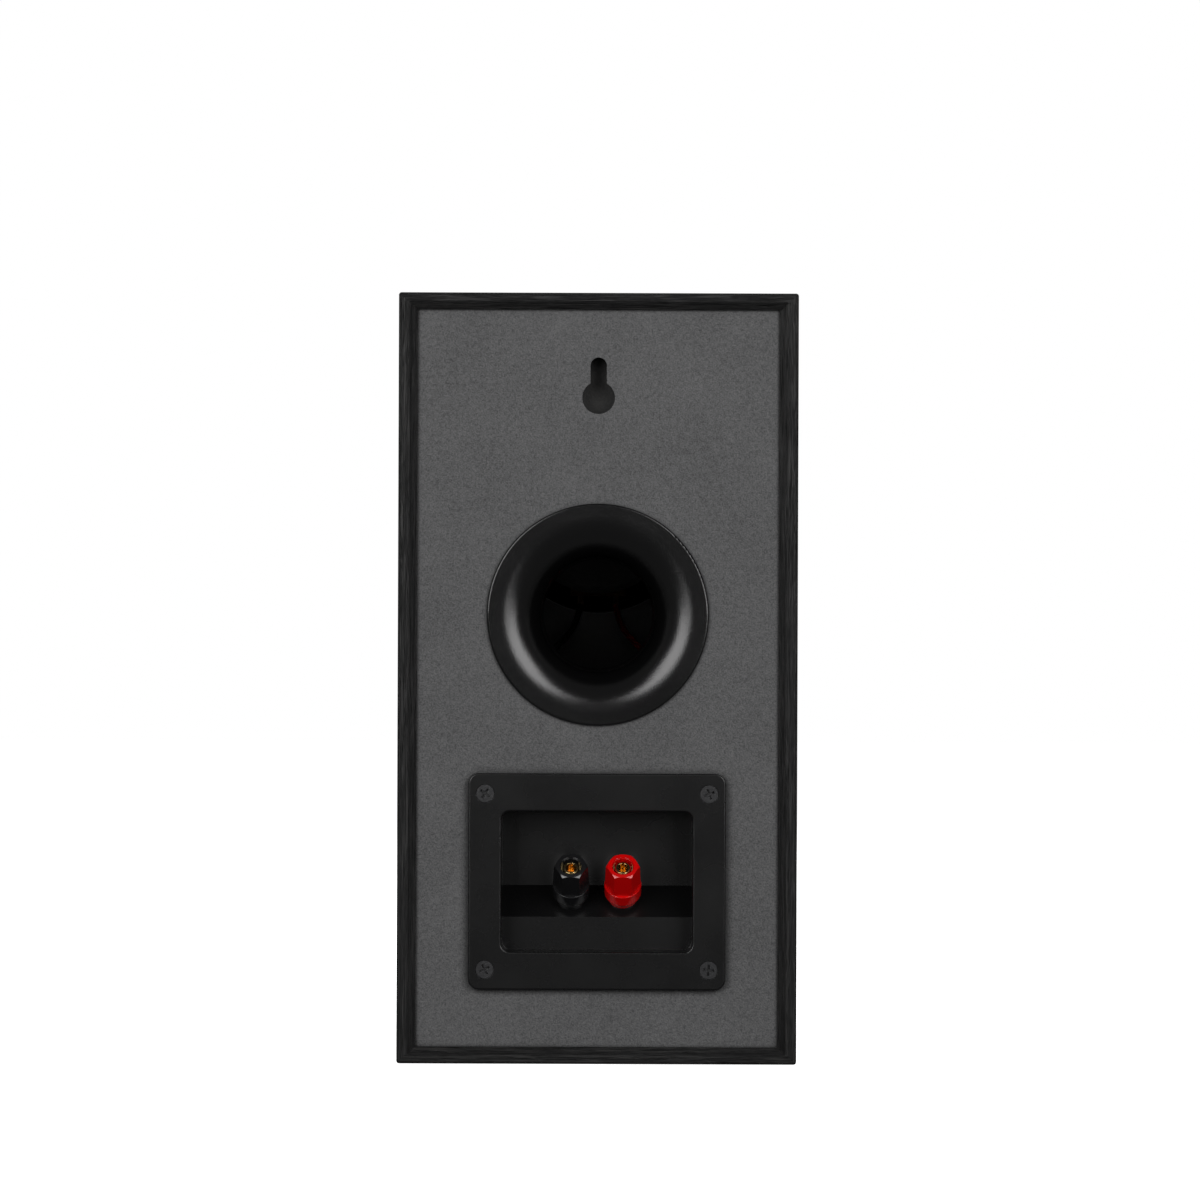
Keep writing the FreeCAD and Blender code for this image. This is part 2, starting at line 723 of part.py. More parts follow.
def stud_body():
    """The gilt post: a plain foot, a collar, a thread as rings at its real pitch, and a socket."""
    foot = knob_foot
    low_thread = wire_hole_height + wire_hole_radius + thread_pitch
    turns = int((stud_outer_length - 2 * thread_pitch - low_thread) / thread_pitch)
    steps = [(stud_radius, -stud_inner_length), (stud_radius, insulator_thickness),
             (stud_collar_radius, insulator_thickness), (stud_collar_radius, foot), (stud_radius, foot)]
    for i in range(turns):
        base = low_thread + i * thread_pitch
        flank = thread_pitch * thread_flank_share
        steps += [(stud_radius, base), (stud_radius - thread_depth, base + flank),
                  (stud_radius, base + 2 * flank)]
    tip = stud_outer_length
    edge = thread_depth
    steps += [(stud_radius, tip - edge), (stud_radius - edge, tip), (socket_radius, tip),
              (socket_radius, tip - socket_depth), (0, tip - socket_depth)]
    stud = turned((0, -stud_inner_length), *steps)
    hole = Part.makeCylinder(wire_hole_radius, 4 * stud_radius, Vec(-2 * stud_radius, 0, wire_hole_height),
                             Vec(1, 0, 0))
    return stud.cut(hole)


def insulator_body():
    """The collar under the knob, with a boss that lines the hole in the cup."""
    bore = stud_radius + slip_gap
    boss = bore + insulator_boss_wall
    top = insulator_thickness
    edge = top / 3
    return turned((bore, -cup_wall), (boss, -cup_wall), (boss, 0), (insulator_radius, 0),
                  (insulator_radius, top - edge), (insulator_radius - edge, top), (bore, top))


def knob_cap_body():
    """The moulded cap: a round skirt, then a tapered hexagon, bored for its insert."""
    skirt_top = knob_foot + knob_skirt_length
    bend = knob_foot_round * (1 - math.sqrt(0.5))
    shoulder = knob_skirt_radius - knob_hex_low_radius
    skirt = turned((0, knob_foot), (knob_skirt_radius - knob_foot_round, knob_foot),
                   ((knob_skirt_radius - bend, knob_foot + bend),
                    (knob_skirt_radius, knob_foot + knob_foot_round)),
                   (knob_skirt_radius, skirt_top - shoulder), (knob_hex_low_radius, skirt_top),
                   (0, skirt_top))
    rings = []
    for radius, height in ((knob_hex_low_radius, skirt_top), (knob_hex_top_radius, knob_top)):
        corners = [Vec(x, y, height) for x, y in on_circle(radius, 6, 0)]
        rings.append(Part.makePolygon([*corners, corners[0]]))
    hexagon = Part.makeLoft(rings, True, True)
    flat = knob_hex_top_radius * math.cos(math.radians(30))
    wide = flat + knob_hex_length
    cone = turned((0, skirt_top - cut_over), (wide, skirt_top - cut_over),
                  (wide, knob_top - knob_hex_length * knob_corner_slope), (flat, knob_top), (0, knob_top))
    body = skirt.fuse(hexagon.common(cone))
    seat = rod(insert_radius + slip_gap, 0, knob_foot + insert_inset + insert_length + slip_gap)
    bore = rod(stud_radius + knob_lip_gap, 0, knob_top + cut_over)
    dish = rod(flat - knob_dish_rim, knob_top - knob_dish_depth, knob_top + cut_over)
    return body.cut([seat, bore, dish])


def insert_body():
    low = knob_foot + insert_inset
    return ring(stud_radius + slip_gap, insert_radius, low, low + insert_length)


def post_washer_body():
    return ring(stud_radius + slip_gap, post_washer_radius, -cup_wall - post_washer_thickness, -cup_wall)


def solder_tab_body():
    top = -cup_wall - post_washer_thickness
    low = top - tab_thickness
    strip = block((-tab_width / 2, tab_width / 2), (0, tab_length), (low, top))
    hole = rod(stud_radius + slip_gap, low - cut_over, top + cut_over)
    return strip.fuse(rod(tab_ring_radius, low, top)).cut(hole)


def post_nut_body():
    top = -cup_wall - post_washer_thickness - tab_thickness
    radius = post_nut_across / 2 / math.cos(math.radians(30))
    corners = [Vec(x, y, top) for x, y in on_circle(radius, 6, 30)]
    prism = Part.Face(Part.makePolygon([*corners, corners[0]])).extrude(Vec(0, 0, -post_nut_thickness))
    return prism.cut(rod(stud_radius + slip_gap, top - post_nut_thickness - cut_over, top + cut_over))


# ------------------------------------------------------------------ woofer
def at_woofer(shape):
    return placed(shape, outward_frame(baffle_y, woofer_height, front=True))


def cone_line(radius, drop=0.0):
    """The height of the cone's sloping face at a radius, lowered by drop."""
    share = (cone_rim_radius - radius) / (cone_rim_radius - coil_radius)
    return cone_flat - share * (cone_neck_depth + cone_flat) - drop


def woofer_basket():
    """A pressed frame: flange, surround ledge, open conical wall, spider shelf and motor seat."""
    metal = woofer_metal
    ledge_in = woofer_ledge_radius - woofer_ledge_width
    ledge = -woofer_ledge_drop
    shelf = -spider_depth - spider_thickness
    shelf_out = spider_outer_radius + slip_gap
    shelf_in = shelf_out - basket_shelf_width
    seat = -basket_seat_depth
    hole = winding_radius + coil_gap + metal
    steps = [(woofer_frame_radius, -metal), (woofer_ledge_radius + metal, -metal),
             (woofer_ledge_radius + metal, ledge - metal), (ledge_in + metal, ledge - metal),
             (shelf_out + metal, shelf + metal), (shelf_out + metal, shelf - metal),
             (shelf_in + metal, shelf - metal), (shelf_in + metal, seat - metal), (hole, seat - metal),
             (hole, seat), (shelf_in, seat), (shelf_in, shelf), (shelf_out, shelf),
             (shelf_out, shelf + basket_shelf_step), (ledge_in, ledge - metal / 2), (ledge_in, ledge),
             (woofer_ledge_radius, ledge), (woofer_ledge_radius, 0)]
    basket = turned((woofer_frame_radius, 0), *steps)
    low, high = shelf + basket_window_margin, ledge - basket_window_margin
    sweep = math.radians(basket_window_angle)
    reach = woofer_frame_radius
    cuts = []
    for i in range(basket_windows):
        middle = 2 * math.pi * (i + 1) / basket_windows
        a, b = middle - sweep / 2, middle + sweep / 2
        wedge = Part.makePolygon([Vec(0, 0, low), Vec(reach * math.cos(a), reach * math.sin(a), low),
                                  Vec(reach * math.cos(b), reach * math.sin(b), low), Vec(0, 0, low)])
        cuts.append(Part.Face(wedge).extrude(Vec(0, 0, high - low)))
    cuts += [rod(screw_radius + slip_gap, -metal - cut_over, cut_over, x, y)
             for x, y in driver_screw_places(woofer_screw_circle)]
    return at_woofer(basket.cut(cuts))


def woofer_gasket():
    low = -woofer_metal - woofer_gasket_thickness
    body = ring(woofer_ledge_radius + woofer_metal + seat_gap, woofer_frame_radius, low, -woofer_metal)
    holes = [rod(screw_radius + slip_gap, low - cut_over, 0, x, y)
             for x, y in driver_screw_places(woofer_screw_circle)]
    return at_woofer(body.cut(holes))


def woofer_surround():
    """A half-roll between two flat lips, glued to the basket's ledge and the cone's rim."""
    low = -woofer_ledge_drop
    top = low + surround_thickness
    outer, inner = surround_outer_radius, surround_inner_radius
    middle, roll = (outer + inner) / 2, (outer - inner) / 2
    return at_woofer(turned(
        (outer + surround_lip, low), (outer + surround_lip, top), (outer, top),
        ((middle, top + roll), (inner, top)), (inner - surround_lip, top), (inner - surround_lip, low),
        (inner + surround_thickness, low),
        ((middle, low + roll), (outer - surround_thickness, low))))


def woofer_cone():
    inner = coil_radius + slip_gap
    rim = surround_inner_radius
    slope = math.atan((cone_neck_depth + cone_flat) / (cone_rim_radius - coil_radius))
    low = cone_thickness / math.cos(slope)
    return at_woofer(turned(
        (cone_rim_radius, cone_flat), (rim, cone_flat), (rim, cone_flat - cone_thickness),
        (cone_rim_radius, cone_flat - low), (inner, cone_line(inner, low)), (inner, cone_line(inner))))


def dust_cap():
    edge = cone_line(dust_cap_radius) + slip_gap
    return at_woofer(shallow_dome(dust_cap_radius, dust_cap_rise, dust_cap_thickness, edge))


def coil_former():
    return at_woofer(ring(coil_inner_radius, coil_radius, winding_low, -cone_neck_depth + former_rise))


def coil_winding():
    """The winding, centred in the magnetic gap."""
    return at_woofer(ring(coil_radius, winding_radius, winding_low, winding_low + winding_length))


def woofer_spider():
    """A corrugated disc from the coil former to the basket's shelf."""
    inner, outer = coil_radius + slip_gap, spider_outer_radius
    low, top = -spider_depth - spider_thickness, -spider_depth
    start, end = inner + spider_inner_flat, outer - basket_shelf_width
    half = (end - start) / (2 * spider_waves)
    under, over = [], []
    for i in range(2 * spider_waves):
        rise = spider_wave_height * (-1) ** i
        near, far = start + i * half, start + (i + 1) * half
        middle = (near + far) / 2
        under.append(((middle, low + rise), (far, low)))
        over.insert(0, ((middle, top + rise), (near, top)))
    return at_woofer(turned((inner, low), (start, low), *under, (outer, low), (outer, top), (end, top),
                            *over, (inner, top)))


def woofer_gap_plate():
    top = -gap_plate_depth
    return at_woofer(ring(winding_radius + coil_gap, gap_plate_radius, top - gap_plate_thickness, top))


def woofer_magnet():
    top = -magnet_depth
    body = ring(magnet_hole_radius, magnet_radius, top - magnet_thickness, top)
    rims = [e for level in (top, top - magnet_thickness) for e in edges_at(body, level)
            if e.BoundBox.XMax > magnet_hole_radius + magnet_chamfer]
    return at_woofer(body.makeChamfer(magnet_chamfer, rims))


def woofer_yoke():
    top, low = -yoke_depth, -yoke_depth - yoke_thickness
    return at_woofer(turned((pole_vent_radius, low), (yoke_radius, low), (yoke_radius, top),
                            (pole_radius, top), (pole_radius, -gap_plate_depth),
                            (pole_vent_radius, -gap_plate_depth)))


def terminal_strip(radius, level, strip_size, tab_size, tab_spacing):
    """An insulating strip shaped to a round wall below its axis, with two tabs pointing down."""
    width, out, thickness = strip_size
    tab_wide, tab_out, tab_metal = tab_size
    base = -radius - out
    strip = block((-width / 2, width / 2), (base, 0), (level - thickness / 2, level + thickness / 2))
    strip = strip.cut(rod(radius, level - thickness, level + thickness))
    tab = block((-tab_wide / 2, tab_wide / 2), (base - tab_out, base),
                (level - tab_metal / 2, level + tab_metal / 2))
    return [strip, *(tab.translated(Vec(x, 0, 0)) for x in (-tab_spacing / 2, tab_spacing / 2))]


def woofer_terminals():
    level = -spider_depth - spider_thickness
    radius = basket_wall_radius + slip_gap
    pieces = terminal_strip(radius, level, woofer_strip_size, woofer_tab_size, woofer_tab_spacing)
    return [at_woofer(s) for s in pieces]


def woofer_screws():
    frame = outward_frame(baffle_y, woofer_height, front=True)
    screw = pan_screw(screw_radius, screw_head_radius, woofer_screw_head_height, screw_length)
    return driven(screw, driver_screw_places(woofer_screw_circle), woofer_screw_turn, frame)


# ------------------------------------------------------------------ tweeter
def at_tweeter(shape):
    return placed(shape, outward_frame(baffle_y, tweeter_z, front=True))


def waveguide():
    """A round faceplate with a shallow curved horn and a seat for the motor behind it."""
    mouth, throat, deep = waveguide_mouth_radius, waveguide_throat_radius, -waveguide_depth
    horn_low = deep + waveguide_throat_height
    through = ((throat + mouth) / 2, horn_low / 2 + waveguide_bulge)
    plate, edge = -tweeter_plate_thickness, tweeter_plate_edge
    seat = deep - tweeter_seat_height
    lip = throat + dome_lip_width + seat_gap
    body = turned((tweeter_plate_radius - edge, 0), (tweeter_plate_radius, -edge),
                  (tweeter_plate_radius, plate), (mouth - slip_gap, plate),
                  (tweeter_gap_plate_radius, deep + waveguide_wall), (tweeter_gap_plate_radius, seat),
                  (lip, seat), (lip, deep), (throat, deep), (throat, horn_low), (through, (mouth, 0)))
    holes = []
    for x, y in driver_screw_places(tweeter_screw_circle):
        hole = countersunk_hole(tweeter_plate_thickness + cut_over)
        hole.translate(Vec(x, y, 0))
        holes.append(hole)
    return at_tweeter(body.cut(holes))


def tweeter_gasket():
    low = -tweeter_plate_thickness - tweeter_gasket_thickness
    body = ring(waveguide_mouth_radius + seat_gap, tweeter_plate_radius, low, -tweeter_plate_thickness)
    holes = [rod(screw_radius + slip_gap, low - cut_over, 0, x, y)
             for x, y in driver_screw_places(tweeter_screw_circle)]
    return at_tweeter(body.cut(holes))


def tweeter_screws():
    frame = outward_frame(baffle_y, tweeter_z, front=True)
    places = driver_screw_places(tweeter_screw_circle)
    return driven(countersunk_screw(screw_length), places, tweeter_screw_turn, frame)


def tweeter_dome():
    base = -waveguide_depth - dome_lip_thickness
    return at_tweeter(shallow_dome(dome_radius, dome_rise, dome_thickness, base))


def tweeter_surround():
    base = -waveguide_depth - dome_lip_thickness
    top = base + dome_lip_thickness
    inner = dome_radius
    outer = inner + 2 * dome_roll_radius
    rim = waveguide_throat_radius + dome_lip_width
    middle = (inner + outer) / 2
    rise = dome_roll_radius
    return at_tweeter(turned((inner, base), ((middle, base + rise), (outer, base)), (rim, base), (rim, top),
                             (outer, top), ((middle, top + rise), (inner, top))))


def tweeter_coil():
    top = -waveguide_depth - dome_lip_thickness - slip_gap
    return at_tweeter(ring(dome_coil_inner, dome_coil_outer, top - tweeter_coil_length, top))


def tweeter_motor():
    """Gap plate, magnet and yoke, from the faceplate's seat backwards."""
    top = -waveguide_depth - tweeter_seat_height
    plate_low = top - tweeter_gap_plate_thickness
    magnet_low = plate_low - tweeter_magnet_thickness
    yoke_low = magnet_low - tweeter_yoke_thickness
    pole, pole_top = dome_coil_inner - pole_gap, top - tweeter_pole_drop
    rim = tweeter_gap_plate_radius
    plate = ring(dome_coil_outer + coil_gap, rim, plate_low, top)
    magnet = ring(magnet_hole_radius, tweeter_magnet_radius, magnet_low, plate_low)
    yoke = turned((0, yoke_low), (rim, yoke_low), (rim, magnet_low), (pole, magnet_low), (pole, pole_top),
                  (0, pole_top))
    return [at_tweeter(s) for s in (plate, magnet, yoke)]


def tweeter_terminals():
    level = -waveguide_depth - tweeter_seat_height - tweeter_gap_plate_thickness / 2
    size = (*tweeter_strip_size, tweeter_gap_plate_thickness - 2 * seat_gap)
    radius = tweeter_gap_plate_radius + slip_gap
    pieces = terminal_strip(radius, level, size, tweeter_tab_size, tweeter_tab_spacing)
    return [at_tweeter(s) for s in pieces]


# ------------------------------------------------------------------ grille
def grille_outline(margin, low, high):
    width = panel_width - 2 * (grille_gap + margin)
    height = panel_height - 2 * (grille_gap + margin)
    return rounded_plate(width, height, max(grille_corner - margin, corner_round), low, high)


def at_grille(shape):
    return placed(shape, outward_frame(baffle_y, cabinet_height / 2, front=True))


def grille_pads(radius, low, high):
    return [rod(radius, low, high, x, z - cabinet_height / 2) for x, z in magnet_places()]


def grille_frame():
    """A moulded frame with a bar between the drivers and a round pad for each magnet."""
    high = grille_thickness - grille_cloth_thickness
    over = (-2 * cut_over, high + 2 * cut_over)
    solid = grille_outline(grille_cloth_thickness, 0, high)
    window = grille_outline(grille_border, -cut_over, high + cut_over)
    tweeter_bottom, woofer_top = tweeter_z - tweeter_plate_radius, woofer_height + woofer_frame_radius
    bar_middle = (tweeter_bottom + woofer_top) / 2 - cabinet_height / 2
    bar = block((-panel_width, panel_width),
                (bar_middle - grille_bar_width / 2, bar_middle + grille_bar_width / 2), over)
    window = window.cut([bar, *grille_pads(grille_pad_radius, *over)])
    sockets = grille_pads(grille_magnet_radius + slip_gap, -cut_over, grille_magnet_thickness)
    return at_grille(solid.cut([window, *sockets]))


def grille_cloth():
    """The cloth as a thin skin over the frame's front and down its sides."""
    low = grille_thickness - grille_wrap
    inner_top = grille_thickness - grille_cloth_thickness
    skin = grille_outline(0, low, grille_thickness)
    skin = skin.makeFillet(grille_cloth_round, edges_at(skin, grille_thickness))
    return at_grille(skin.cut(grille_outline(grille_cloth_thickness, low - cut_over, inner_top)))


def grille_magnets():
    return [at_grille(s) for s in grille_pads(grille_magnet_radius, 0, grille_magnet_thickness)]


# ------------------------------------------------------------------ crossover
def board_places():
    return at_corners(board_width / 2 - board_screw_inset, board_depth / 2 - board_screw_inset)


def on_board(shape, x=0.0, y=0.0):
    """A shape put on the board, whose top is height 0."""
    return placed(shape, upward_frame(x, board_middle_y + y, board_top))


def inductor():
    """An air-cored coil on a flanged bobbin."""
    core, rim, top = bobbin_core_radius, bobbin_radius, bobbin_height
    low_flange, high_flange = bobbin_flange, top - bobbin_flange
    bobbin = turned((bobbin_bore_radius, 0), (rim, 0), (rim, low_flange), (core, low_flange),
                    (core, high_flange), (rim, high_flange), (rim, top), (bobbin_bore_radius, top))
    return bobbin, ring(core, rim - winding_side_gap, low_flange, high_flange)


def capacitor():
    """A round can lying along X."""
    half = capacitor_length / 2
    can = rod(capacitor_radius, -half, half)
    can = can.makeFillet(capacitor_round, edges_at(can, -half) + edges_at(can, half))
    can.rotate(Vec(0, 0, 0), Vec(0, 1, 0), 90)
    can.translate(Vec(0, 0, capacitor_radius))
    return can


def resistor():
    width, length, height = resistor_size
    body = block((-width / 2, width / 2), (-length / 2, length / 2), (0, height))
    return body.makeChamfer(resistor_chamfer, edges_at(body, height))


def crossover():
    """The board on its standoffs, with a coil and a capacitor each side of two resistors."""
    board = block((-board_width / 2, board_width / 2), (-board_depth / 2, board_depth / 2),
                  (-board_thickness, 0))
    bore = board_screw_radius + slip_gap
    board = board.cut([rod(bore, -board_thickness - cut_over, cut_over, x, y) for x, y in board_places()])
    standoff = ring(bore, standoff_radius, -board_thickness - standoff_height, -board_thickness)
    screw = pan_screw(board_screw_radius, board_screw_head_radius, board_screw_head_height,
                      board_screw_length)
    bobbin, winding = inductor()
    column_x = resistor_size[0] / 2 + board_part_gap + bobbin_radius
    half_depth = board_depth / 2 - board_margin_y
    coil_y, can_y = half_depth - bobbin_radius, half_depth - capacitor_radius
    coils = [(-column_x, -coil_y), (column_x, coil_y)]
    cans = [(-column_x, can_y), (column_x, -can_y)]
    resistor_y = (resistor_size[1] + board_part_gap) / 2 + board_part_gap
    resistors = [(0.0, -resistor_y), (0.0, resistor_y)]
    return {
        "crossover_board": [on_board(board)],
        "crossover_standoffs": [on_board(standoff, x, y) for x, y in board_places()],
        "crossover_screws": [on_board(screw, x, y) for x, y in board_places()],
        "inductor_bobbins": [on_board(bobbin, x, y) for x, y in coils],
        "inductor_windings": [on_board(winding, x, y) for x, y in coils],
        "crossover_capacitors": [on_board(capacitor(), x, y) for x, y in cans],
        "crossover_resistors": [on_board(resistor(), x, y) for x, y in resistors],
    }


def bottom_with_pilots(panel):
    """The bottom panel with pilot holes for the board's screws."""
    depth = board_screw_length - standoff_height - board_thickness + slip_gap
    pilots = [rod(board_screw_radius + slip_gap, wall - depth, wall + cut_over, x, board_middle_y + y)
              for x, y in board_places()]
    return panel.cut(pilots)


# ------------------------------------------------------------------ leads
def lead_pair(start, route, landing, ends_on):
    """Two leads, mirrored left and right, from a pair of tabs to the board, cut where they meet them."""
    points = [tuple(start), *route, (*landing, board_top)]
    tubes = [swept_lead([(side * x, y, z) for x, y, z in points]) for side in (-1, 1)]
    return [tube.cut(ends_on) for tube in tubes]


def tab_tip(frame, radius, level, strip_size, tab_size, tab_spacing):
    """The middle of the end of the right-hand tab of a terminal strip."""
    return frame.multVec(Vec(tab_spacing / 2, -radius - strip_size[1] - tab_size[1], level))


def leads(parts):
    board = parts["crossover_board"]
    tab_level = -cup_wall - post_washer_thickness - tab_thickness / 2
    input_start = post_frame(post_places[1]).multVec(Vec(0, tab_length, tab_level))
    woofer_start = tab_tip(outward_frame(baffle_y, woofer_height, front=True), basket_wall_radius + slip_gap,
                           -spider_depth - spider_thickness, woofer_strip_size, woofer_tab_size,
                           woofer_tab_spacing)
    tweeter_level = -waveguide_depth - tweeter_seat_height - tweeter_gap_plate_thickness / 2
    tweeter_start = tab_tip(outward_frame(baffle_y, tweeter_z, front=True),
                            tweeter_gap_plate_radius + slip_gap, tweeter_level, tweeter_strip_size,
                            tweeter_tab_size, tweeter_tab_spacing)
    ends = {
        "input_leads": (input_start, input_route, input_landing, "post_solder_tabs"),
        "woofer_leads": (woofer_start, woofer_route, woofer_landing, "woofer_terminals"),
        "tweeter_leads": (tweeter_start, tweeter_route, tweeter_landing, "tweeter_terminals"),
    }
    return {name: lead_pair(start, route, landing, board + parts[tabs])
            for name, (start, route, landing, tabs) in ends.items()}


# ------------------------------------------------------------------ assembly
def build():
    parts = cabinet_walls()
    parts["bottom_panel"] = bottom_with_pilots(parts["bottom_panel"])
    parts["front_baffle"] = front_baffle()
    parts["rear_panel"] = rear_panel()
    parts["baffle_magnets"] = baffle_magnets()
    parts["damping_wadding"] = wadding()
    parts["port_flare"] = port_flare()
    parts["port_tube"] = port_tube()
    parts["terminal_cup"] = terminal_cup()
    parts["terminal_gasket"] = terminal_gasket()
    parts["terminal_cup_screws"] = cup_screws()
    for name, x in zip(("red", "black"), post_places):
        frame = post_frame(x)
        parts[f"{name}_post_stud"] = placed(stud_body(), frame)
        parts[f"{name}_post_insulator"] = placed(insulator_body(), frame)
        parts[f"{name}_knob_cap"] = placed(knob_cap_body(), frame)
        parts[f"{name}_knob_insert"] = placed(insert_body(), frame)
    frames = [post_frame(x) for x in post_places]
    parts["post_washers"] = [placed(post_washer_body(), f) for f in frames]
    parts["post_solder_tabs"] = [placed(solder_tab_body(), f) for f in frames]
    parts["post_nuts"] = [placed(post_nut_body(), f) for f in frames]
    parts["woofer_basket"] = woofer_basket()
    parts["woofer_gasket"] = woofer_gasket()
    parts["woofer_surround"] = woofer_surround()
    parts["woofer_cone"] = woofer_cone()
    parts["woofer_dust_cap"] = dust_cap()
    parts["woofer_coil_former"] = coil_former()
    parts["woofer_coil_winding"] = coil_winding()
    parts["woofer_spider"] = woofer_spider()
    parts["woofer_gap_plate"] = woofer_gap_plate()
    parts["woofer_magnet"] = woofer_magnet()
    parts["woofer_yoke"] = woofer_yoke()
    parts["woofer_terminals"] = woofer_terminals()
    parts["woofer_screws"] = woofer_screws()
    parts["tweeter_waveguide"] = waveguide()
    parts["tweeter_gasket"] = tweeter_gasket()
    parts["tweeter_screws"] = tweeter_screws()
    parts["tweeter_dome"] = tweeter_dome()
    parts["tweeter_surround"] = tweeter_surround()
    parts["tweeter_voice_coil"] = tweeter_coil()
    for name, shape in zip(("tweeter_gap_plate", "tweeter_magnet", "tweeter_yoke"), tweeter_motor()):
        parts[name] = shape
    parts["tweeter_terminals"] = tweeter_terminals()
    parts["grille_frame"] = grille_frame()
    parts["grille_cloth"] = grille_cloth()
    parts["grille_magnets"] = grille_magnets()
    parts.update(crossover())
    parts.update(leads(parts))
    return parts


def export(parts):
    os.makedirs("parts", exist_ok=True)
    for name, shape in parts.items():
        solids = [s for piece in (shape if isinstance(shape, list) else [shape]) for s in piece.Solids]
        sound = all(s.isValid() and s.Volume > 0 for s in solids)
        if not solids or not sound:
            print(f"FAULT in {name}: {len(solids)} solids, valid {sound}")
        whole = solids[0] if len(solids) == 1 else Part.makeCompound(solids)
        whole.exportStep(f"parts/{name}.step")
        box = whole.BoundBox
        print(f"{name}: {len(solids)} solids, {whole.Volume / 1000:.2f} cm3, "
              f"{box.XLength:.1f} x {box.YLength:.1f} x {box.ZLength:.1f}")


export(build())
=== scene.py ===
import json
import math
from itertools import product

import bpy
from mathutils import Matrix, Vector, noise
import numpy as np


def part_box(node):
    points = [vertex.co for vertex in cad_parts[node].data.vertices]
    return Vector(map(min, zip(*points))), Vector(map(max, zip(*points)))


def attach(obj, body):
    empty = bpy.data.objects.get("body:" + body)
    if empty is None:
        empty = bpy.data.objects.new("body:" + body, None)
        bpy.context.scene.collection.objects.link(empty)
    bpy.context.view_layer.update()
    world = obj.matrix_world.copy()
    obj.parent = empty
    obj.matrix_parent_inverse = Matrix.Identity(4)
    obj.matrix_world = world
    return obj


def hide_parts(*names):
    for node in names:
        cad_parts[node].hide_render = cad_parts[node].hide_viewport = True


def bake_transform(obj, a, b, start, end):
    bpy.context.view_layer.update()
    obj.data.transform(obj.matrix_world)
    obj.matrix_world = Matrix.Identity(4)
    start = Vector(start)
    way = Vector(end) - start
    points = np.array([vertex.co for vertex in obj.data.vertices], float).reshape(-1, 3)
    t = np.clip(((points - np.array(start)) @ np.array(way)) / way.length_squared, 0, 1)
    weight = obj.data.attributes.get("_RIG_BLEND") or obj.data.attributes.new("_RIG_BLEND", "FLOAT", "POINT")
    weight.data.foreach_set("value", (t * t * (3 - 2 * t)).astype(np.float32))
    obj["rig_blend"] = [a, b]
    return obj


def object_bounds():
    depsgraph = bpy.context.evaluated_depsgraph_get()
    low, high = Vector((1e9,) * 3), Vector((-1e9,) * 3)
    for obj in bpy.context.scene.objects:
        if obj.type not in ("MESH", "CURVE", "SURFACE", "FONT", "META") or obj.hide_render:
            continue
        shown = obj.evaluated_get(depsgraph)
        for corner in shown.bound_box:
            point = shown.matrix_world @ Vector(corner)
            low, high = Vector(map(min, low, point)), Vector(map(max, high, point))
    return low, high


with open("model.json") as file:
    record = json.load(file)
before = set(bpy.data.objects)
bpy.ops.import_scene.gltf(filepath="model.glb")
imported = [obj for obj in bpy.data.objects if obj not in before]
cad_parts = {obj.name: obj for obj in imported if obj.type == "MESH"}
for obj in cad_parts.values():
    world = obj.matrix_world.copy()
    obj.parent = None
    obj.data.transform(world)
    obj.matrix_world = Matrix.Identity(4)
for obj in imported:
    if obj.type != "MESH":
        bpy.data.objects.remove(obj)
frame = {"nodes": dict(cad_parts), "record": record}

CAD_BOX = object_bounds()
MM = 0.001

X, Y, Z = 0, 1, 2


def half_width(box):
    """Half the extent in X of a box of two corners: a round part's radius."""
    low, high = box
    return (high.x - low.x) / 2


def centre_of(box):
    low, high = box
    return (low + high) / 2


# ------------------------------------------------------------------ camera and light
CAMERA_DISTANCE = 1.8
CAMERA_LENS = 148.0
CAMERA_HEIGHT = 0.1694
CAMERA_SIDE = -0.00077
CAMERA_ROLL = math.radians(0.21)
SENSOR = 36.0
CLIP_NEAR, CLIP_FAR = 0.05, 30.0

KEY_DISTANCE = 1.5
KEY_OFF_AXIS = math.radians(33)
KEY_ROUND = math.radians(30)
KEY_SIZE = (0.85, 0.85)
KEY_RADIANCE = 6.4
FRONT_KEY_RADIANCE = 5.0
TOP_SIZE = (1.2, 1.0)
TOP_HEIGHT = 1.6
TOP_FORWARD = 0.7
TOP_RADIANCE = 0.5
AMBIENT = 0.13
BACKDROP = 1.0
WHITE = (1, 1, 1, 1)
FLOOR_SIZE = 8.0
FLOOR_DROP = 0.2 * MM
FLOOR_GLOW = 0.92


def camera():
    """Level and square to the rear panel, as far off as the perspective of the rim asks."""
    data = bpy.data.cameras.new("camera")
    data.lens = CAMERA_LENS
    data.sensor_width = SENSOR
    data.clip_start, data.clip_end = CLIP_NEAR, CLIP_FAR
    eye = bpy.data.objects.new("camera", data)
    rear = CAD_BOX[1].y
    turn = Matrix.Rotation(math.pi, 4, "Z") @ Matrix.Rotation(math.pi / 2, 4, "X")
    place = Matrix.Translation((CAMERA_SIDE, rear + CAMERA_DISTANCE, CAMERA_HEIGHT))
    eye.matrix_world = place @ turn @ Matrix.Rotation(CAMERA_ROLL, 4, "Z")
    bpy.context.scene.collection.objects.link(eye)
    bpy.context.scene.camera = eye


def softbox(name, place, target, size, radiance):
    """An area light of a given radiance that the camera doesn't see."""
    data = bpy.data.lights.new(name, "AREA")
    data.shape = "RECTANGLE"
    data.size, data.size_y = size
    data.energy = radiance * math.pi * size[0] * size[1]
    lamp = bpy.data.objects.new(name, data)
    lamp.location = place
    lamp.rotation_mode = "QUATERNION"
    lamp.rotation_quaternion = (Vector(target) - Vector(place)).to_track_quat("-Z", "Y")
    lamp.visible_camera = False
    bpy.context.scene.collection.objects.link(lamp)


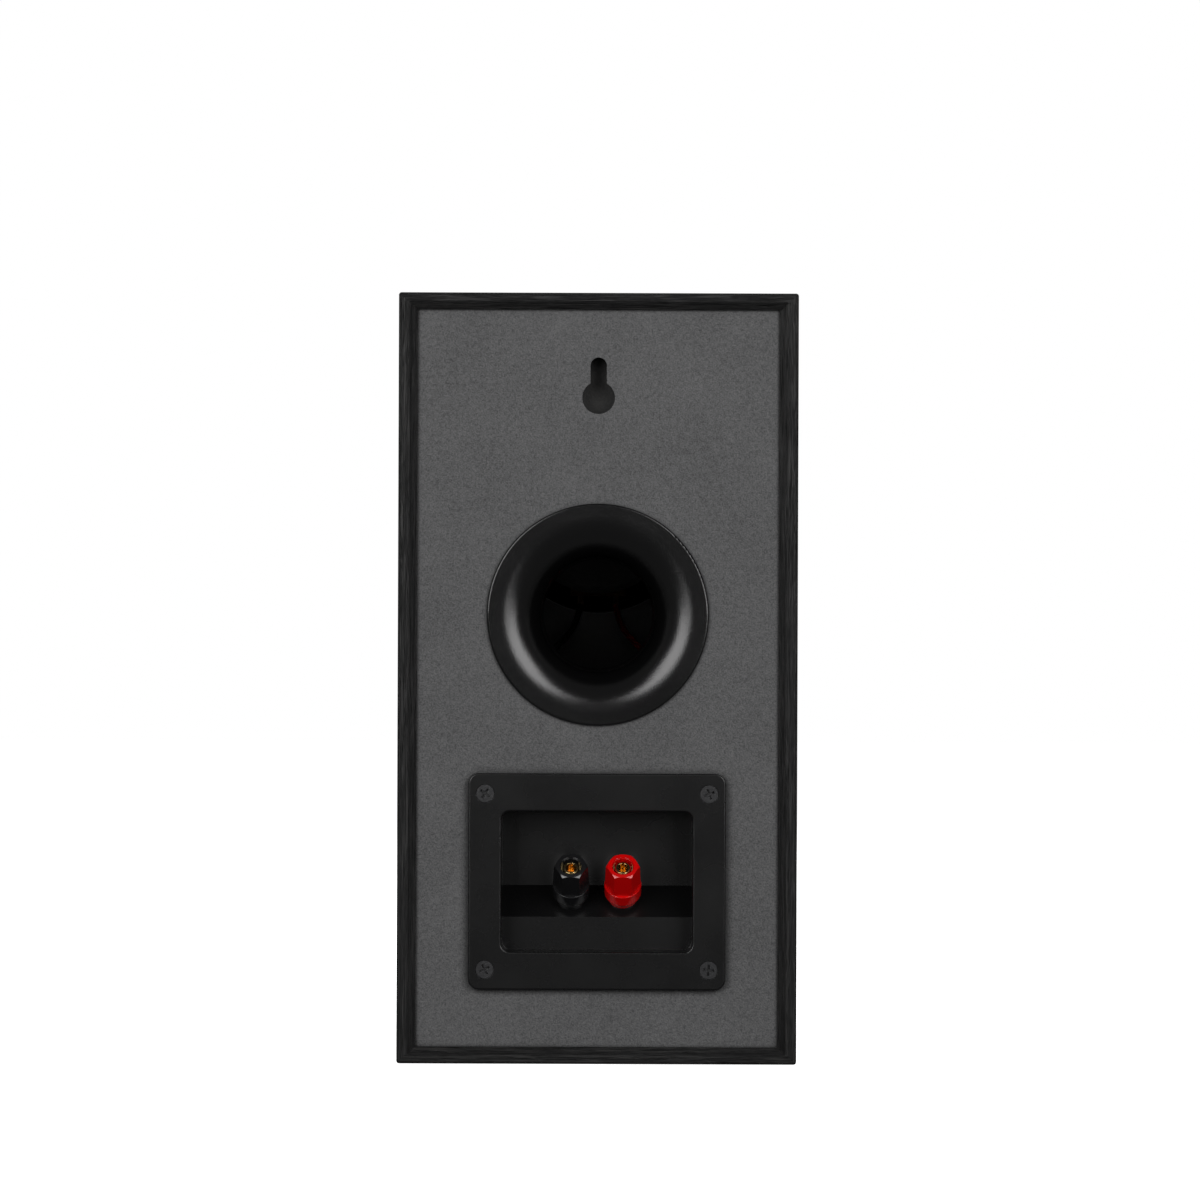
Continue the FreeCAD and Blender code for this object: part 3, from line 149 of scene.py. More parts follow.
def lights():
    """Two soft keys high on each side, behind and in front, and a weak one overhead."""
    middle = centre_of(CAD_BOX)
    away = math.sin(KEY_OFF_AXIS)
    for end, radiance in (("rear", KEY_RADIANCE), ("front", FRONT_KEY_RADIANCE)):
        out = 1 if end == "rear" else -1
        for side, sign in (("left", 1), ("right", -1)):
            way = Vector((sign * away * math.cos(KEY_ROUND), out * math.cos(KEY_OFF_AXIS),
                          away * math.sin(KEY_ROUND)))
            softbox(f"{end}_key_{side}", middle + way * KEY_DISTANCE, middle, KEY_SIZE, radiance)
    softbox("overhead", (0, -TOP_FORWARD, TOP_HEIGHT), middle, TOP_SIZE, TOP_RADIANCE)


def white_surround():
    """A world that is white where it is seen, and a dim even grey as a light."""
    world = bpy.data.worlds.new("studio")
    world.use_nodes = True
    tree = world.node_tree
    dim = tree.nodes["Background"]
    dim.inputs["Color"].default_value = WHITE
    dim.inputs["Strength"].default_value = AMBIENT
    seen = tree.nodes.new("ShaderNodeBackground")
    seen.inputs["Color"].default_value = WHITE
    seen.inputs["Strength"].default_value = BACKDROP
    ray = tree.nodes.new("ShaderNodeLightPath")
    mix = tree.nodes.new("ShaderNodeMixShader")
    tree.links.new(ray.outputs["Is Camera Ray"], mix.inputs[0])
    tree.links.new(dim.outputs[0], mix.inputs[1])
    tree.links.new(seen.outputs[0], mix.inputs[2])
    tree.links.new(mix.outputs[0], tree.nodes["World Output"].inputs["Surface"])
    bpy.context.scene.world = world


# ------------------------------------------------------------------ shader helpers
NOISE_RANGE = (0.3, 0.7)
DRAWN_OUT = 0.03
BEVEL_SAMPLES = 4
SHADE_MASK_SAMPLES = 8


def grey(shade):
    return (shade, shade, shade)


def shades_of(colour, dark, light):
    """A darker and a lighter shade of a colour, by two factors."""
    return [tuple(channel * factor for channel in colour) for factor in (dark, light)]


def ease(share):
    """A smooth ramp from 0 to 1, level at both ends."""
    return share * share * (3 - 2 * share)


def material(name, colour=(0.5, 0.5, 0.5), **sockets):
    """A Principled material. Sockets are given by name, with underscores for spaces."""
    made = bpy.data.materials.new(name)
    made.use_nodes = True
    shader = made.node_tree.nodes["Principled BSDF"]
    shader.inputs["Base Color"].default_value = (*colour, 1)
    for key, value in sockets.items():
        shader.inputs[key.replace("_", " ")].default_value = value
    return made, made.node_tree, shader


def node(tree, kind, inputs=None, **settings):
    """A shader node. Inputs are values or sockets to link; settings are the node's properties."""
    made = tree.nodes.new("ShaderNode" + kind)
    for key, value in settings.items():
        setattr(made, key, value)
    for key, value in (inputs or {}).items():
        if isinstance(value, bpy.types.NodeSocket):
            tree.links.new(value, made.inputs[key])
        else:
            made.inputs[key].default_value = value
    return made


def bands(tree, vector, size, distortion=0.0, detail=0.0, **settings):
    """Waves of the texture; they lie 0.63 of size apart, size being in metres."""
    inputs = {"Vector": vector, "Scale": 1 / (2 * size), "Distortion": distortion, "Detail": detail}
    return node(tree, "TexWave", inputs, **settings).outputs["Fac"]


def place(tree, stretch=(1, 1, 1), turn=(0, 0, 0), attribute=None):
    """Coordinates in metres in the object's own frame, or from a named attribute of the mesh."""
    if attribute:
        source = node(tree, "Attribute", attribute_name=attribute).outputs["Vector"]
    else:
        source = node(tree, "TexCoord").outputs["Object"]
    return node(tree, "Mapping", {"Vector": source, "Scale": stretch, "Rotation": turn}).outputs[0]


def speckle(tree, vector, size, detail=2.0, rough=0.5, distortion=0.0):
    """Noise whose features are about size metres across."""
    return node(tree, "TexNoise", {"Vector": vector, "Scale": 1 / size, "Detail": detail,
                                   "Roughness": rough, "Distortion": distortion}).outputs[0]


def cells(tree, vector, size, randomness=1.0, feature="F1", dimensions="3D"):
    """The distance in a pattern of cells about size metres across."""
    return node(tree, "TexVoronoi", {"Vector": vector, "Scale": 1 / size, "Randomness": randomness},
                feature=feature, voronoi_dimensions=dimensions).outputs["Distance"]


def remap(tree, value, low, high, out_low=0.0, out_high=1.0):
    """Maps low to out_low and high to out_high, and keeps the result between them."""
    return node(tree, "MapRange", {"Value": value, "From Min": low, "From Max": high,
                                   "To Min": out_low, "To Max": out_high}).outputs[0]


def blend_colours(tree, factor, first, second):
    """The first colour where the factor is 0, the second where it is 1."""
    mix = node(tree, "Mix", {0: factor}, data_type="RGBA")
    for index, colour in ((6, first), (7, second)):
        if isinstance(colour, bpy.types.NodeSocket):
            tree.links.new(colour, mix.inputs[index])
        else:
            mix.inputs[index].default_value = (*colour, 1)
    return mix.outputs[2]


def calculate(tree, how, first, second):
    return node(tree, "Math", {0: first, 1: second}, operation=how).outputs[0]


def add(tree, first, second):
    return calculate(tree, "ADD", first, second)


def multiply(tree, first, second):
    return calculate(tree, "MULTIPLY", first, second)


def vary(tree, pattern, low, high):
    """Stretches the range that noise mostly keeps to, so that it runs from low to high."""
    return remap(tree, pattern, *NOISE_RANGE, low, high)


def relief(tree, height, depth, under=None):
    """A bump of depth metres, on top of another bump if one is given."""
    inputs = {"Height": height, "Distance": depth}
    if under:
        inputs["Normal"] = under
    return node(tree, "Bump", inputs).outputs[0]


def soft_edge(tree, radius):
    """A normal that rounds sharp edges a little, as moulding and plating do."""
    return node(tree, "Bevel", {"Radius": radius}, samples=BEVEL_SAMPLES).outputs[0]


def painted_shade_mask(tree, reach, low, high):
    """0 deep in a corner or a bore, 1 in the open: a mask for painting shade into colour where little light
    falls.
    """
    seen = node(tree, "AmbientOcclusion", {"Distance": reach},
                samples=SHADE_MASK_SAMPLES).outputs["AO"]
    return remap(tree, seen, low, high)


def drawn_along(axis):
    """Scales that stretch a pattern along an axis, as grain and brushed lines run."""
    return tuple(DRAWN_OUT if i == axis else 1.0 for i in range(3))


def wire(tree, shader, **sockets):
    """Links sockets to the shader's inputs, named with underscores for spaces."""
    for key, value in sockets.items():
        tree.links.new(value, shader.inputs[key.replace("_", " ")])


# ------------------------------------------------------------------ materials
BROAD_GRAIN = 60


def moulded(name, colour, spread=0.15, grain=0.4 * MM, depth=0.02 * MM, rough=(0.35, 0.5),
            edge=0.0, **sockets):
    """A moulded, painted or cast finish: fine grain and an uneven gloss."""
    made, tree, shader = material(name, colour, **sockets)
    at = place(tree)
    fine, broad = speckle(tree, at, grain, 2.0), speckle(tree, at, BROAD_GRAIN * grain, 3.0)
    tint = blend_colours(tree, multiply(tree, fine, add(tree, broad, 0.5)),
                         *shades_of(colour, 1 - spread, 1 + spread))
    under = soft_edge(tree, edge) if edge else None
    wire(tree, shader, Base_Color=tint, Roughness=vary(tree, broad, *rough),
         Normal=relief(tree, fine, depth, under))
    return made


GRAIN_WIDTH = 1.1 * MM
PORE_WIDTH = 0.42 * MM
FIGURE_WIDTH = 9 * GRAIN_WIDTH
GRAIN_DEPTH = 0.16 * MM
FOLD_RADIUS = 0.25 * MM


def grain_vinyl(name, axis):
    """Black vinyl with an embossed wood grain along an axis."""
    made, tree, shader = material(name, Specular_IOR_Level=0.22)
    at = place(tree, drawn_along(axis))
    streaks = speckle(tree, at, GRAIN_WIDTH, 4.0, 0.62, 0.25)
    pores = remap(tree, speckle(tree, at, PORE_WIDTH, 2.0, 0.6), 0.40, 0.56)
    figure = remap(tree, speckle(tree, at, FIGURE_WIDTH, 2.0), 0.2, 0.8, 0.6, 1.0)
    lit = blend_colours(tree, remap(tree, streaks, 0.40, 0.64),
                        (0.0022, 0.0022, 0.0024), (0.0215, 0.021, 0.0205))
    height = add(tree, multiply(tree, streaks, 0.7), pores)
    wire(tree, shader,
         Base_Color=blend_colours(tree, multiply(tree, pores, figure), grey(0.001), lit),
         Roughness=remap(tree, streaks, 0.35, 0.65, 0.58, 0.38),
         Normal=relief(tree, height, GRAIN_DEPTH, soft_edge(tree, FOLD_RADIUS)))
    return made


SKIN_DEPTH = 0.5 * MM
LUMP_SIZE = 1.1 * MM
PIMPLE_SIZE = 0.55 * MM
STIPPLE_DEPTH = 0.16 * MM
SHADED_REACH = 5 * MM


def stipple_vinyl(name):
    """Dark grey stippled vinyl over a black-stained board, which shows where the keyhole is cut; painted
    shade darkens it beside the lip and the raised parts.
    """
    made, tree, shader = material(name, Specular_IOR_Level=0.25)
    at = place(tree)
    lumps = speckle(tree, at, LUMP_SIZE, 3.0, 0.65, 0.6)
    fine = speckle(tree, at, PIMPLE_SIZE, 2.0, 0.6)
    cloud = speckle(tree, at, 30 * MM, 2.0)
    mixed = add(tree, multiply(tree, lumps, 0.45), multiply(tree, fine, 0.55))
    shade = add(tree, remap(tree, mixed, 0.36, 0.64, 0.0, 0.85), vary(tree, cloud, 0.0, 0.15))
    vinyl = blend_colours(tree, shade, (0.030, 0.030, 0.031), (0.084, 0.084, 0.085))
    depth = node(tree, "SeparateXYZ", {"Vector": at}).outputs["Y"]
    skin = calculate(tree, "GREATER_THAN", depth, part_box("rear_panel")[1].y - SKIN_DEPTH)
    tint = blend_colours(tree, skin, (0.016, 0.0155, 0.015), vinyl)
    # painted shade: the vinyl turns near black beside the rim's lip, the terminal plate and the port, where
    # shadow falls
    tint = blend_colours(tree, painted_shade_mask(tree, SHADED_REACH, 0.35, 0.88), grey(0.008), tint)
    wire(tree, shader, Base_Color=tint, Roughness=vary(tree, lumps, 0.62, 0.5),
         Normal=relief(tree, add(tree, lumps, multiply(tree, fine, 0.6)), STIPPLE_DEPTH))
    return made


CLOTH_MAP = "cloth_place"
KNIT_PITCH = 1.15 * MM
KNIT_DEPTH = 0.22 * MM


def knit(name):
    """Black acoustic knit: staggered holes between raised threads, laid out along the flat cloth."""
    made, tree, shader = material(name, Sheen_Weight=0.25, Sheen_Roughness=0.5,
                                  Specular_IOR_Level=0.25)
    flat = place(tree, turn=(0, 0, math.pi / 4), attribute=CLOTH_MAP)
    thread = remap(tree, cells(tree, flat, KNIT_PITCH, 0.06, dimensions="2D"), 0.16, 0.42)
    at = place(tree)
    fuzz, cloud = speckle(tree, at, 0.35 * MM, 2.0), speckle(tree, at, 25 * MM, 2.0)
    lit = blend_colours(tree, multiply(tree, fuzz, cloud),
                        (0.020, 0.020, 0.021), (0.060, 0.060, 0.063))
    wire(tree, shader, Base_Color=blend_colours(tree, thread, grey(0.002), lit),
         Roughness=remap(tree, fuzz, 0.2, 0.8, 0.7, 0.95),
         Normal=relief(tree, add(tree, thread, multiply(tree, fuzz, 0.35)), KNIT_DEPTH))
    return made


def woven(name, dark, light, thread, rough=(0.6, 0.8)):
    """A plain weave: two sets of waves that cross."""
    made, tree, shader = material(name, Sheen_Weight=0.2)
    at = place(tree)
    crossing = [bands(tree, at, thread, 0.3, 1.0, bands_direction=way) for way in ("X", "Z")]
    weave = calculate(tree, "MAXIMUM", *crossing)
    fuzz = speckle(tree, at, thread / 2)
    wire(tree, shader, Base_Color=blend_colours(tree, multiply(tree, weave, fuzz), dark, light),
         Roughness=vary(tree, fuzz, *rough), Normal=relief(tree, weave, 0.15 * MM))
    return made


def felted(name):
    """White polyester wadding: long tangled fibres and soft hollows."""
    made, tree, shader = material(name, Sheen_Weight=0.4, Subsurface_Weight=0.25,
                                  Subsurface_Scale=0.004)
    at = place(tree, (1, 1, 2.2))
    fibres = speckle(tree, at, 1.0 * MM, 6.0, 0.75, 2.5)
    hollows = speckle(tree, at, 9 * MM, 3.0)
    tint = blend_colours(tree, multiply(tree, fibres, add(tree, hollows, 0.5)),
                         (0.50, 0.50, 0.48), (0.88, 0.88, 0.86))
    wire(tree, shader, Base_Color=tint, Roughness=vary(tree, fibres, 0.8, 1.0),
         Normal=relief(tree, fibres, 0.5 * MM, relief(tree, hollows, 2.5 * MM)))
    return made


def wound_wire(name, turn, way):
    """Enamelled copper wire: ridges along the coil's axis."""
    made, tree, shader = material(name, Metallic=1.0)
    at = place(tree)
    turns = bands(tree, at, turn, 0.15, bands_direction=way)
    stain = speckle(tree, at, 3 * MM)
    tint = blend_colours(tree, multiply(tree, turns, stain),
                         (0.30, 0.09, 0.03), (0.78, 0.36, 0.16))
    wire(tree, shader, Base_Color=tint, Roughness=vary(tree, stain, 0.22, 0.38),
         Normal=relief(tree, turns, 0.1 * MM))
    return made


def brushed(name, colour, axis, rough=(0.25, 0.4)):
    """Plated or brushed metal with fine drawn lines along an axis."""
    made, tree, shader = material(name, colour, Metallic=1.0)
    lines = speckle(tree, place(tree, drawn_along(axis)), 0.2 * MM, 2.0)
    stain = speckle(tree, place(tree), 6 * MM, 3.0)
    wire(tree, shader, Base_Color=blend_colours(tree, stain, *shades_of(colour, 0.75, 1.05)),
         Roughness=vary(tree, lines, *rough),
         Normal=relief(tree, lines, 0.008 * MM, soft_edge(tree, 0.1 * MM)))
    return made


def gilt(name):
    """Bright gold plating over turned brass, with painted shade where the bore is deep."""
    made, tree, shader = material(name, (0.95, 0.68, 0.28), Metallic=1.0)
    at = place(tree)
    tarnish, scratch = speckle(tree, at, 2.2 * MM, 3.0), speckle(tree, at, 0.12 * MM)
    gold = blend_colours(tree, tarnish, (0.80, 0.52, 0.17), (1.0, 0.80, 0.42))
    # painted shade: the gold turns near black deep in the bore and the knob's recess
    tint = blend_colours(tree, painted_shade_mask(tree, 2 * MM, 0.12, 0.4), (0.05, 0.035, 0.012), gold)
    wire(tree, shader, Base_Color=tint, Roughness=vary(tree, scratch, 0.14, 0.24),
         Normal=relief(tree, scratch, 0.004 * MM, soft_edge(tree, 0.12 * MM)))
    return made


def board_green(name):
    """Solder-masked fibreglass, with the copper showing through as a lighter green."""
    made, tree, shader = material(name, Coat_Weight=0.4, Coat_Roughness=0.15)
    at = place(tree)
    tracks = remap(tree, cells(tree, at, 9 * MM, feature="DISTANCE_TO_EDGE"), 0.10, 0.14)
    weave = speckle(tree, at, 0.5 * MM)
    tint = blend_colours(tree, tracks, (0.010, 0.060, 0.022), (0.028, 0.15, 0.055))
    wire(tree, shader, Base_Color=tint, Roughness=vary(tree, weave, 0.35, 0.5),
         Normal=relief(tree, add(tree, tracks, multiply(tree, weave, 0.2)), 0.05 * MM))
    return made


def lead_insulation(name):
    """Red on one side and black on the other, as the two leads of each pair run."""
    made, tree, shader = material(name, Specular_IOR_Level=0.4)
    at = place(tree)
    side = node(tree, "SeparateXYZ", {"Vector": at}).outputs["X"]
    dust = speckle(tree, at, 1.5 * MM, 3.0)
    red = blend_colours(tree, dust, (0.32, 0.008, 0.008), (0.48, 0.02, 0.02))
    black = blend_colours(tree, dust, grey(0.010), grey(0.024))
    tint = blend_colours(tree, calculate(tree, "GREATER_THAN", side, 0.0), red, black)
    wire(tree, shader, Base_Color=tint, Roughness=vary(tree, dust, 0.35, 0.55),
         Normal=relief(tree, dust, 0.03 * MM))
    return made


def ridged_cone(name, colour, centre, ridge):
    """A pressed driver cone: satin, with faint rings about the driver's axis."""
    made, tree, shader = material(name, colour, Specular_IOR_Level=0.4)
    at = node(tree, "TexCoord").outputs["Object"]
    flat = node(tree, "Mapping", {"Vector": at, "Location": (-centre.x, 0, -centre.z),
                                  "Scale": (1, 0, 1)}).outputs[0]
    rings = bands(tree, flat, ridge, wave_type="RINGS", rings_direction="SPHERICAL")
    fibre = speckle(tree, at, 0.5 * MM, 4.0)
    wire(tree, shader, Base_Color=blend_colours(tree, fibre, *shades_of(colour, 0.7, 1.3)),
         Roughness=vary(tree, fibre, 0.38, 0.52),
         Normal=relief(tree, add(tree, multiply(tree, rings, 0.4), fibre), 0.04 * MM))
    return made


WOOFER = centre_of(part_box("woofer_cone"))
TWEETER = centre_of(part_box("tweeter_dome"))

MOULDED_FINISHES = {
    "baffle_paint": dict(colour=(0.016, 0.016, 0.017), grain=0.8 * MM, depth=0.05 * MM,
                         rough=(0.36, 0.5)),
    "port_plastic": dict(colour=(0.0018, 0.0018, 0.0019), grain=0.5 * MM, depth=0.055 * MM,
                         rough=(0.17, 0.21), edge=0.2 * MM, Specular_IOR_Level=0.45),
    "cup_plastic": dict(colour=(0.0024, 0.0024, 0.0025), spread=0.2, rough=(0.25, 0.3),
                        edge=0.25 * MM, Specular_IOR_Level=0.33),
    "gasket_foam": dict(colour=grey(0.012), spread=0.4, grain=0.6 * MM, depth=0.15 * MM,
                        rough=(0.85, 0.95)),
    "black_screw": dict(colour=(0.016, 0.016, 0.017), grain=0.3 * MM, depth=0.05 * MM,
                        rough=(0.2, 0.32), edge=0.12 * MM),
    "red_plastic": dict(colour=(0.42, 0.0012, 0.0014), spread=0.06, grain=0.5 * MM,
                        depth=0.004 * MM, rough=(0.14, 0.2), edge=0.25 * MM,
                        Specular_IOR_Level=0.4),
    "black_knob_plastic": dict(colour=(0.007, 0.007, 0.0075), spread=0.1, grain=0.5 * MM,
                               depth=0.004 * MM, rough=(0.16, 0.24), edge=0.25 * MM),
    "red_insulator": dict(colour=(0.36, 0.004, 0.004), spread=0.08, rough=(0.25, 0.35),
                          edge=0.2 * MM),
    "black_insulator": dict(colour=grey(0.007), spread=0.1, rough=(0.3, 0.4), edge=0.2 * MM),
    "basket_steel": dict(colour=(0.014, 0.014, 0.015), grain=0.7 * MM, depth=0.06 * MM,
                         rough=(0.4, 0.55)),
    "butyl_rubber": dict(colour=grey(0.012), grain=0.35 * MM, rough=(0.42, 0.58)),
    "dust_cap_fibre": dict(colour=(0.018, 0.018, 0.019), grain=0.5 * MM, rough=(0.3, 0.42)),
    "ferrite": dict(colour=(0.045, 0.045, 0.047), spread=0.35, grain=0.5 * MM, depth=0.05 * MM,
                    rough=(0.5, 0.7)),
    "grille_plastic": dict(colour=grey(0.012), grain=0.5 * MM, depth=0.05 * MM,
                           rough=(0.4, 0.55), edge=0.2 * MM),
    "nylon": dict(colour=(0.70, 0.70, 0.66), spread=0.06, grain=0.6 * MM, rough=(0.4, 0.5),
                  Subsurface_Weight=0.2, Subsurface_Scale=0.002),
    "capacitor_film": dict(colour=(0.60, 0.42, 0.03), spread=0.12, grain=1.2 * MM,
                           depth=0.05 * MM, rough=(0.2, 0.35)),
    "resistor_cement": dict(colour=(0.62, 0.60, 0.56), spread=0.2, grain=0.7 * MM,
                            depth=0.12 * MM, rough=(0.75, 0.9)),
}

OTHER_FINISHES = {
    "rear_vinyl": (stipple_vinyl,),
    "wadding": (felted,),
    "gilt_brass": (gilt,),
    "zinc_steel": (brushed, (0.62, 0.62, 0.60), X),
    "former_alloy": (brushed, grey(0.70), Y),
    "neodymium": (brushed, (0.66, 0.66, 0.64), Z, (0.12, 0.22)),
    "copper_wire": (wound_wire, 0.5 * MM, "Y"),
    "cone_fibre": (ridged_cone, (0.035, 0.035, 0.038), WOOFER, 1.6 * MM),
    "spider_cloth": (woven, (0.30, 0.16, 0.05), (0.62, 0.42, 0.20), 0.8 * MM),
    "terminal_board": (woven, (0.10, 0.045, 0.02), (0.26, 0.13, 0.06), 0.5 * MM, (0.4, 0.55)),
    "dome_silk": (woven, (0.010, 0.010, 0.012), (0.040, 0.040, 0.044), 0.35 * MM, (0.45, 0.6)),
    "grille_knit": (knit,),
    "circuit_board": (board_green,),
    "lead_wire": (lead_insulation,),
}


def materials():
    """One finish for each material slot of the record but the cabinet's vinyl."""
    made = {name: moulded(name, **values) for name, values in MOULDED_FINISHES.items()}
    made.update({name: make(name, *values) for name, (make, *values) in OTHER_FINISHES.items()})
    return made


def dress(finishes):
    """Gives every CAD node the finish of its slot; the vinyl's grain follows each panel's length."""
    upright = grain_vinyl("cabinet_vinyl_upright", Z)
    level = grain_vinyl("cabinet_vinyl_level", X)
    for part in frame["record"]["subparts"]:
        name, slot = part["node"], part["material_slot"]
        if slot == "cabinet_vinyl":
            finish = upright if "side" in name else level
        else:
            finish = finishes[slot]
        holder = frame["nodes"][name]
        if not holder.material_slots:
            holder.data.materials.append(finish)
        for holder_slot in holder.material_slots:
            holder_slot.material = finish


# ------------------------------------------------------------------ meshes
def mesh_object(name, points, faces, finish):
    """A smooth-shaded object of one material."""
    mesh = bpy.data.meshes.new(name)
    mesh.from_pydata(points, [], faces)
    mesh.update()
    mesh.shade_smooth()
    mesh.materials.append(finish)
    made = bpy.data.objects.new(name, mesh)
    bpy.context.scene.collection.objects.link(made)
    return made


def ring_faces(rings, count, closed=False):
    """Quads between rings of count points each."""
    faces = []
    for i in range(rings if closed else rings - 1):
        here, there = i * count, (i + 1) % rings * count
        faces += [(here + j, here + (j + 1) % count, there + (j + 1) % count, there + j)
                  for j in range(count)]
    return faces


def arc_points(centre, radius, start, end, steps):
    """Points along an arc in the (radius, out) plane, angles in degrees."""
    angles = [math.radians(start + (end - start) * i / steps) for i in range(steps + 1)]
    return [(centre[0] + radius * math.cos(a), centre[1] + radius * math.sin(a)) for a in angles]


RING_POINTS = 160


def lathe(name, profile, centre, finish):
    """A closed profile of (radius, y) turned about an axis along Y through centre."""
    points = []
    for radius, y in profile:
        for j in range(RING_POINTS):
            a = 2 * math.pi * j / RING_POINTS
            points.append((centre.x + radius * math.cos(a), y, centre.z + radius * math.sin(a)))
    return mesh_object(name, points, ring_faces(len(profile), RING_POINTS, closed=True), finish)


def flex_between(piece, still, moving, centre, inner, outer):
    """Blends a flexing ring from its outer edge, which is still, to its inner edge, which moves."""
    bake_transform(piece, still, moving, start=(centre.x + outer, centre.y, centre.z),
             end=(centre.x + inner, centre.y, centre.z))
    weights = piece.data.attributes["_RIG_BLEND"]
    for i, vertex in enumerate(piece.data.vertices):
        away = math.hypot(vertex.co.x - centre.x, vertex.co.z - centre.z)
        share = min(max((outer - away) / (outer - inner), 0), 1)
        weights.data[i].value = ease(share)


SURROUND_SKIN = 0.8 * MM
SURROUND_LIP = 2.5 * MM
ROLL_STEPS = 28


def half_roll(face, low, inner, outer, lip, skin):
    """The closed outline of a half-roll with two flat lips, as (radius, y), bulging to -Y."""
    middle, roll = (inner + outer) / 2, (outer - inner) / 2
    front = arc_points((middle, face), roll, 0, -180, ROLL_STEPS)
    back = arc_points((middle, low), roll - skin, -180, 0, ROLL_STEPS)
    return [(outer + lip, face), *front, (inner - lip, face),
            (inner - lip, low), *back, (outer + lip, low)]


def woofer_surround(finish):
    """A rubber half-roll between the basket's rim and the cone."""
    low_corner, high_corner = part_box("woofer_surround")
    outer_edge = half_width((low_corner, high_corner))
    low = high_corner.y
    face = low - SURROUND_SKIN
    roll = face - low_corner.y
    outer = outer_edge - SURROUND_LIP
    inner = outer - 2 * roll
    profile = half_roll(face, low, inner, outer, SURROUND_LIP, SURROUND_SKIN)
    piece = lathe("woofer_surround_roll", profile, WOOFER, finish)
    flex_between(piece, "cabinet", "woofer_cone", WOOFER,
                 inner + SURROUND_SKIN / 2, outer - SURROUND_SKIN / 2)
    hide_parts("woofer_surround")


DOME_SKIN = 0.4 * MM


def tweeter_surround(finish):
    """A small silk half-roll round the dome, with a flat ring that is clamped."""
    low_corner, high_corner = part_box("tweeter_surround")
    outer_edge = half_width((low_corner, high_corner))
    inner = half_width(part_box("tweeter_dome"))
    low = high_corner.y
    face = low - DOME_SKIN
    roll = face - low_corner.y
    outer = inner + 2 * roll
    front = arc_points((inner + roll, face), roll, 0, -180, ROLL_STEPS)
    back = arc_points((inner + roll, low), roll, -180, 0, ROLL_STEPS)
    profile = [(outer_edge, face), *front, *back, (outer_edge, low)]
    piece = lathe("tweeter_surround_roll", profile, TWEETER, finish)
    flex_between(piece, "cabinet", "tweeter_dome", TWEETER, inner, outer)
    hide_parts("tweeter_surround")


SPIDER_SKIN = 0.5 * MM
SPIDER_WAVES = 3
SPIDER_WAVE = 0.5 * MM
SPIDER_FLATS = (1.6 * MM, 2.5 * MM)
SPIDER_STEPS = 8
SPIDER_SLIP = 0.05 * MM


def woofer_spider(finish):
    """A corrugated disc: sine waves between a flat at the coil and a flat on the basket's shelf."""
    low_corner, high_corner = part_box("woofer_spider")
    outer = half_width((low_corner, high_corner))
    inner = half_width(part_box("woofer_coil_former")) + SPIDER_SLIP
    middle = (low_corner.y + high_corner.y) / 2
    start, end = inner + SPIDER_FLATS[0], outer - SPIDER_FLATS[1]
    count = 2 * SPIDER_WAVES * SPIDER_STEPS
    waves = [(start + (end - start) * i / count,
              -SPIDER_WAVE * math.sin(2 * math.pi * SPIDER_WAVES * i / count))
             for i in range(count + 1)]
    line = [(inner, 0), *waves, (outer, 0)]
    half = SPIDER_SKIN / 2
    profile = [(r, middle + y - half) for r, y in line]
    profile += [(r, middle + y + half) for r, y in reversed(line)]
    piece = lathe("woofer_spider_disc", profile, WOOFER, finish)
    flex_between(piece, "cabinet", "woofer_cone", WOOFER, start, end)
    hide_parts("woofer_spider")


# ------------------------------------------------------------------ grille cloth
CLOTH = 0.55 * MM
CLOTH_CORNER = 2.5 * MM
CLOTH_EDGE = 1.0 * MM
CLOTH_EDGE_STEPS = 5
CLOTH_SIDE_STEPS = 10
CLOTH_RINGS = 44
CLOTH_SEAM = 0.1 * MM
CLOTH_CORNER_STEPS = 12
CLOTH_LONG_STEPS = 84
CLOTH_SHORT_STEPS = 40
WINDOW_BORDER = 9.0 * MM
BAR_HALF = 4.0 * MM
SAG = 0.55 * MM
SAG_RAMP = 16.0 * MM
HEM_RIPPLE = 0.05 * MM
RIPPLES_PER_METRE = 180


def rounded_outline(half_x, half_z, corner):
    """Points round a rectangle with round corners, evenly counted so that rings match."""
    inner_x, inner_z = half_x - corner, half_z - corner
    centres = ((inner_x, inner_z), (-inner_x, inner_z), (-inner_x, -inner_z), (inner_x, -inner_z))
    arcs = [arc_points(centre, corner, 90 * i, 90 * i + 90, CLOTH_CORNER_STEPS)
            for i, centre in enumerate(centres)]
    points = []
    for i, arc in enumerate(arcs):
        last, ahead = arc[-1], arcs[(i + 1) % 4][0]
        count = CLOTH_LONG_STEPS if i % 2 else CLOTH_SHORT_STEPS
        points += arc
        points += [tuple(last[k] + (ahead[k] - last[k]) * step / count for k in range(2))
                   for step in range(1, count)]
    return points


def sag_at(x, z, half_x, half_z, bar):
    """How far the stretched cloth is drawn in over the windows of the frame."""
    reach = min(half_x - WINDOW_BORDER - abs(x), half_z - WINDOW_BORDER - abs(z),
                abs(z - bar) - BAR_HALF)
    return SAG * ease(min(max(reach / SAG_RAMP, 0), 1))


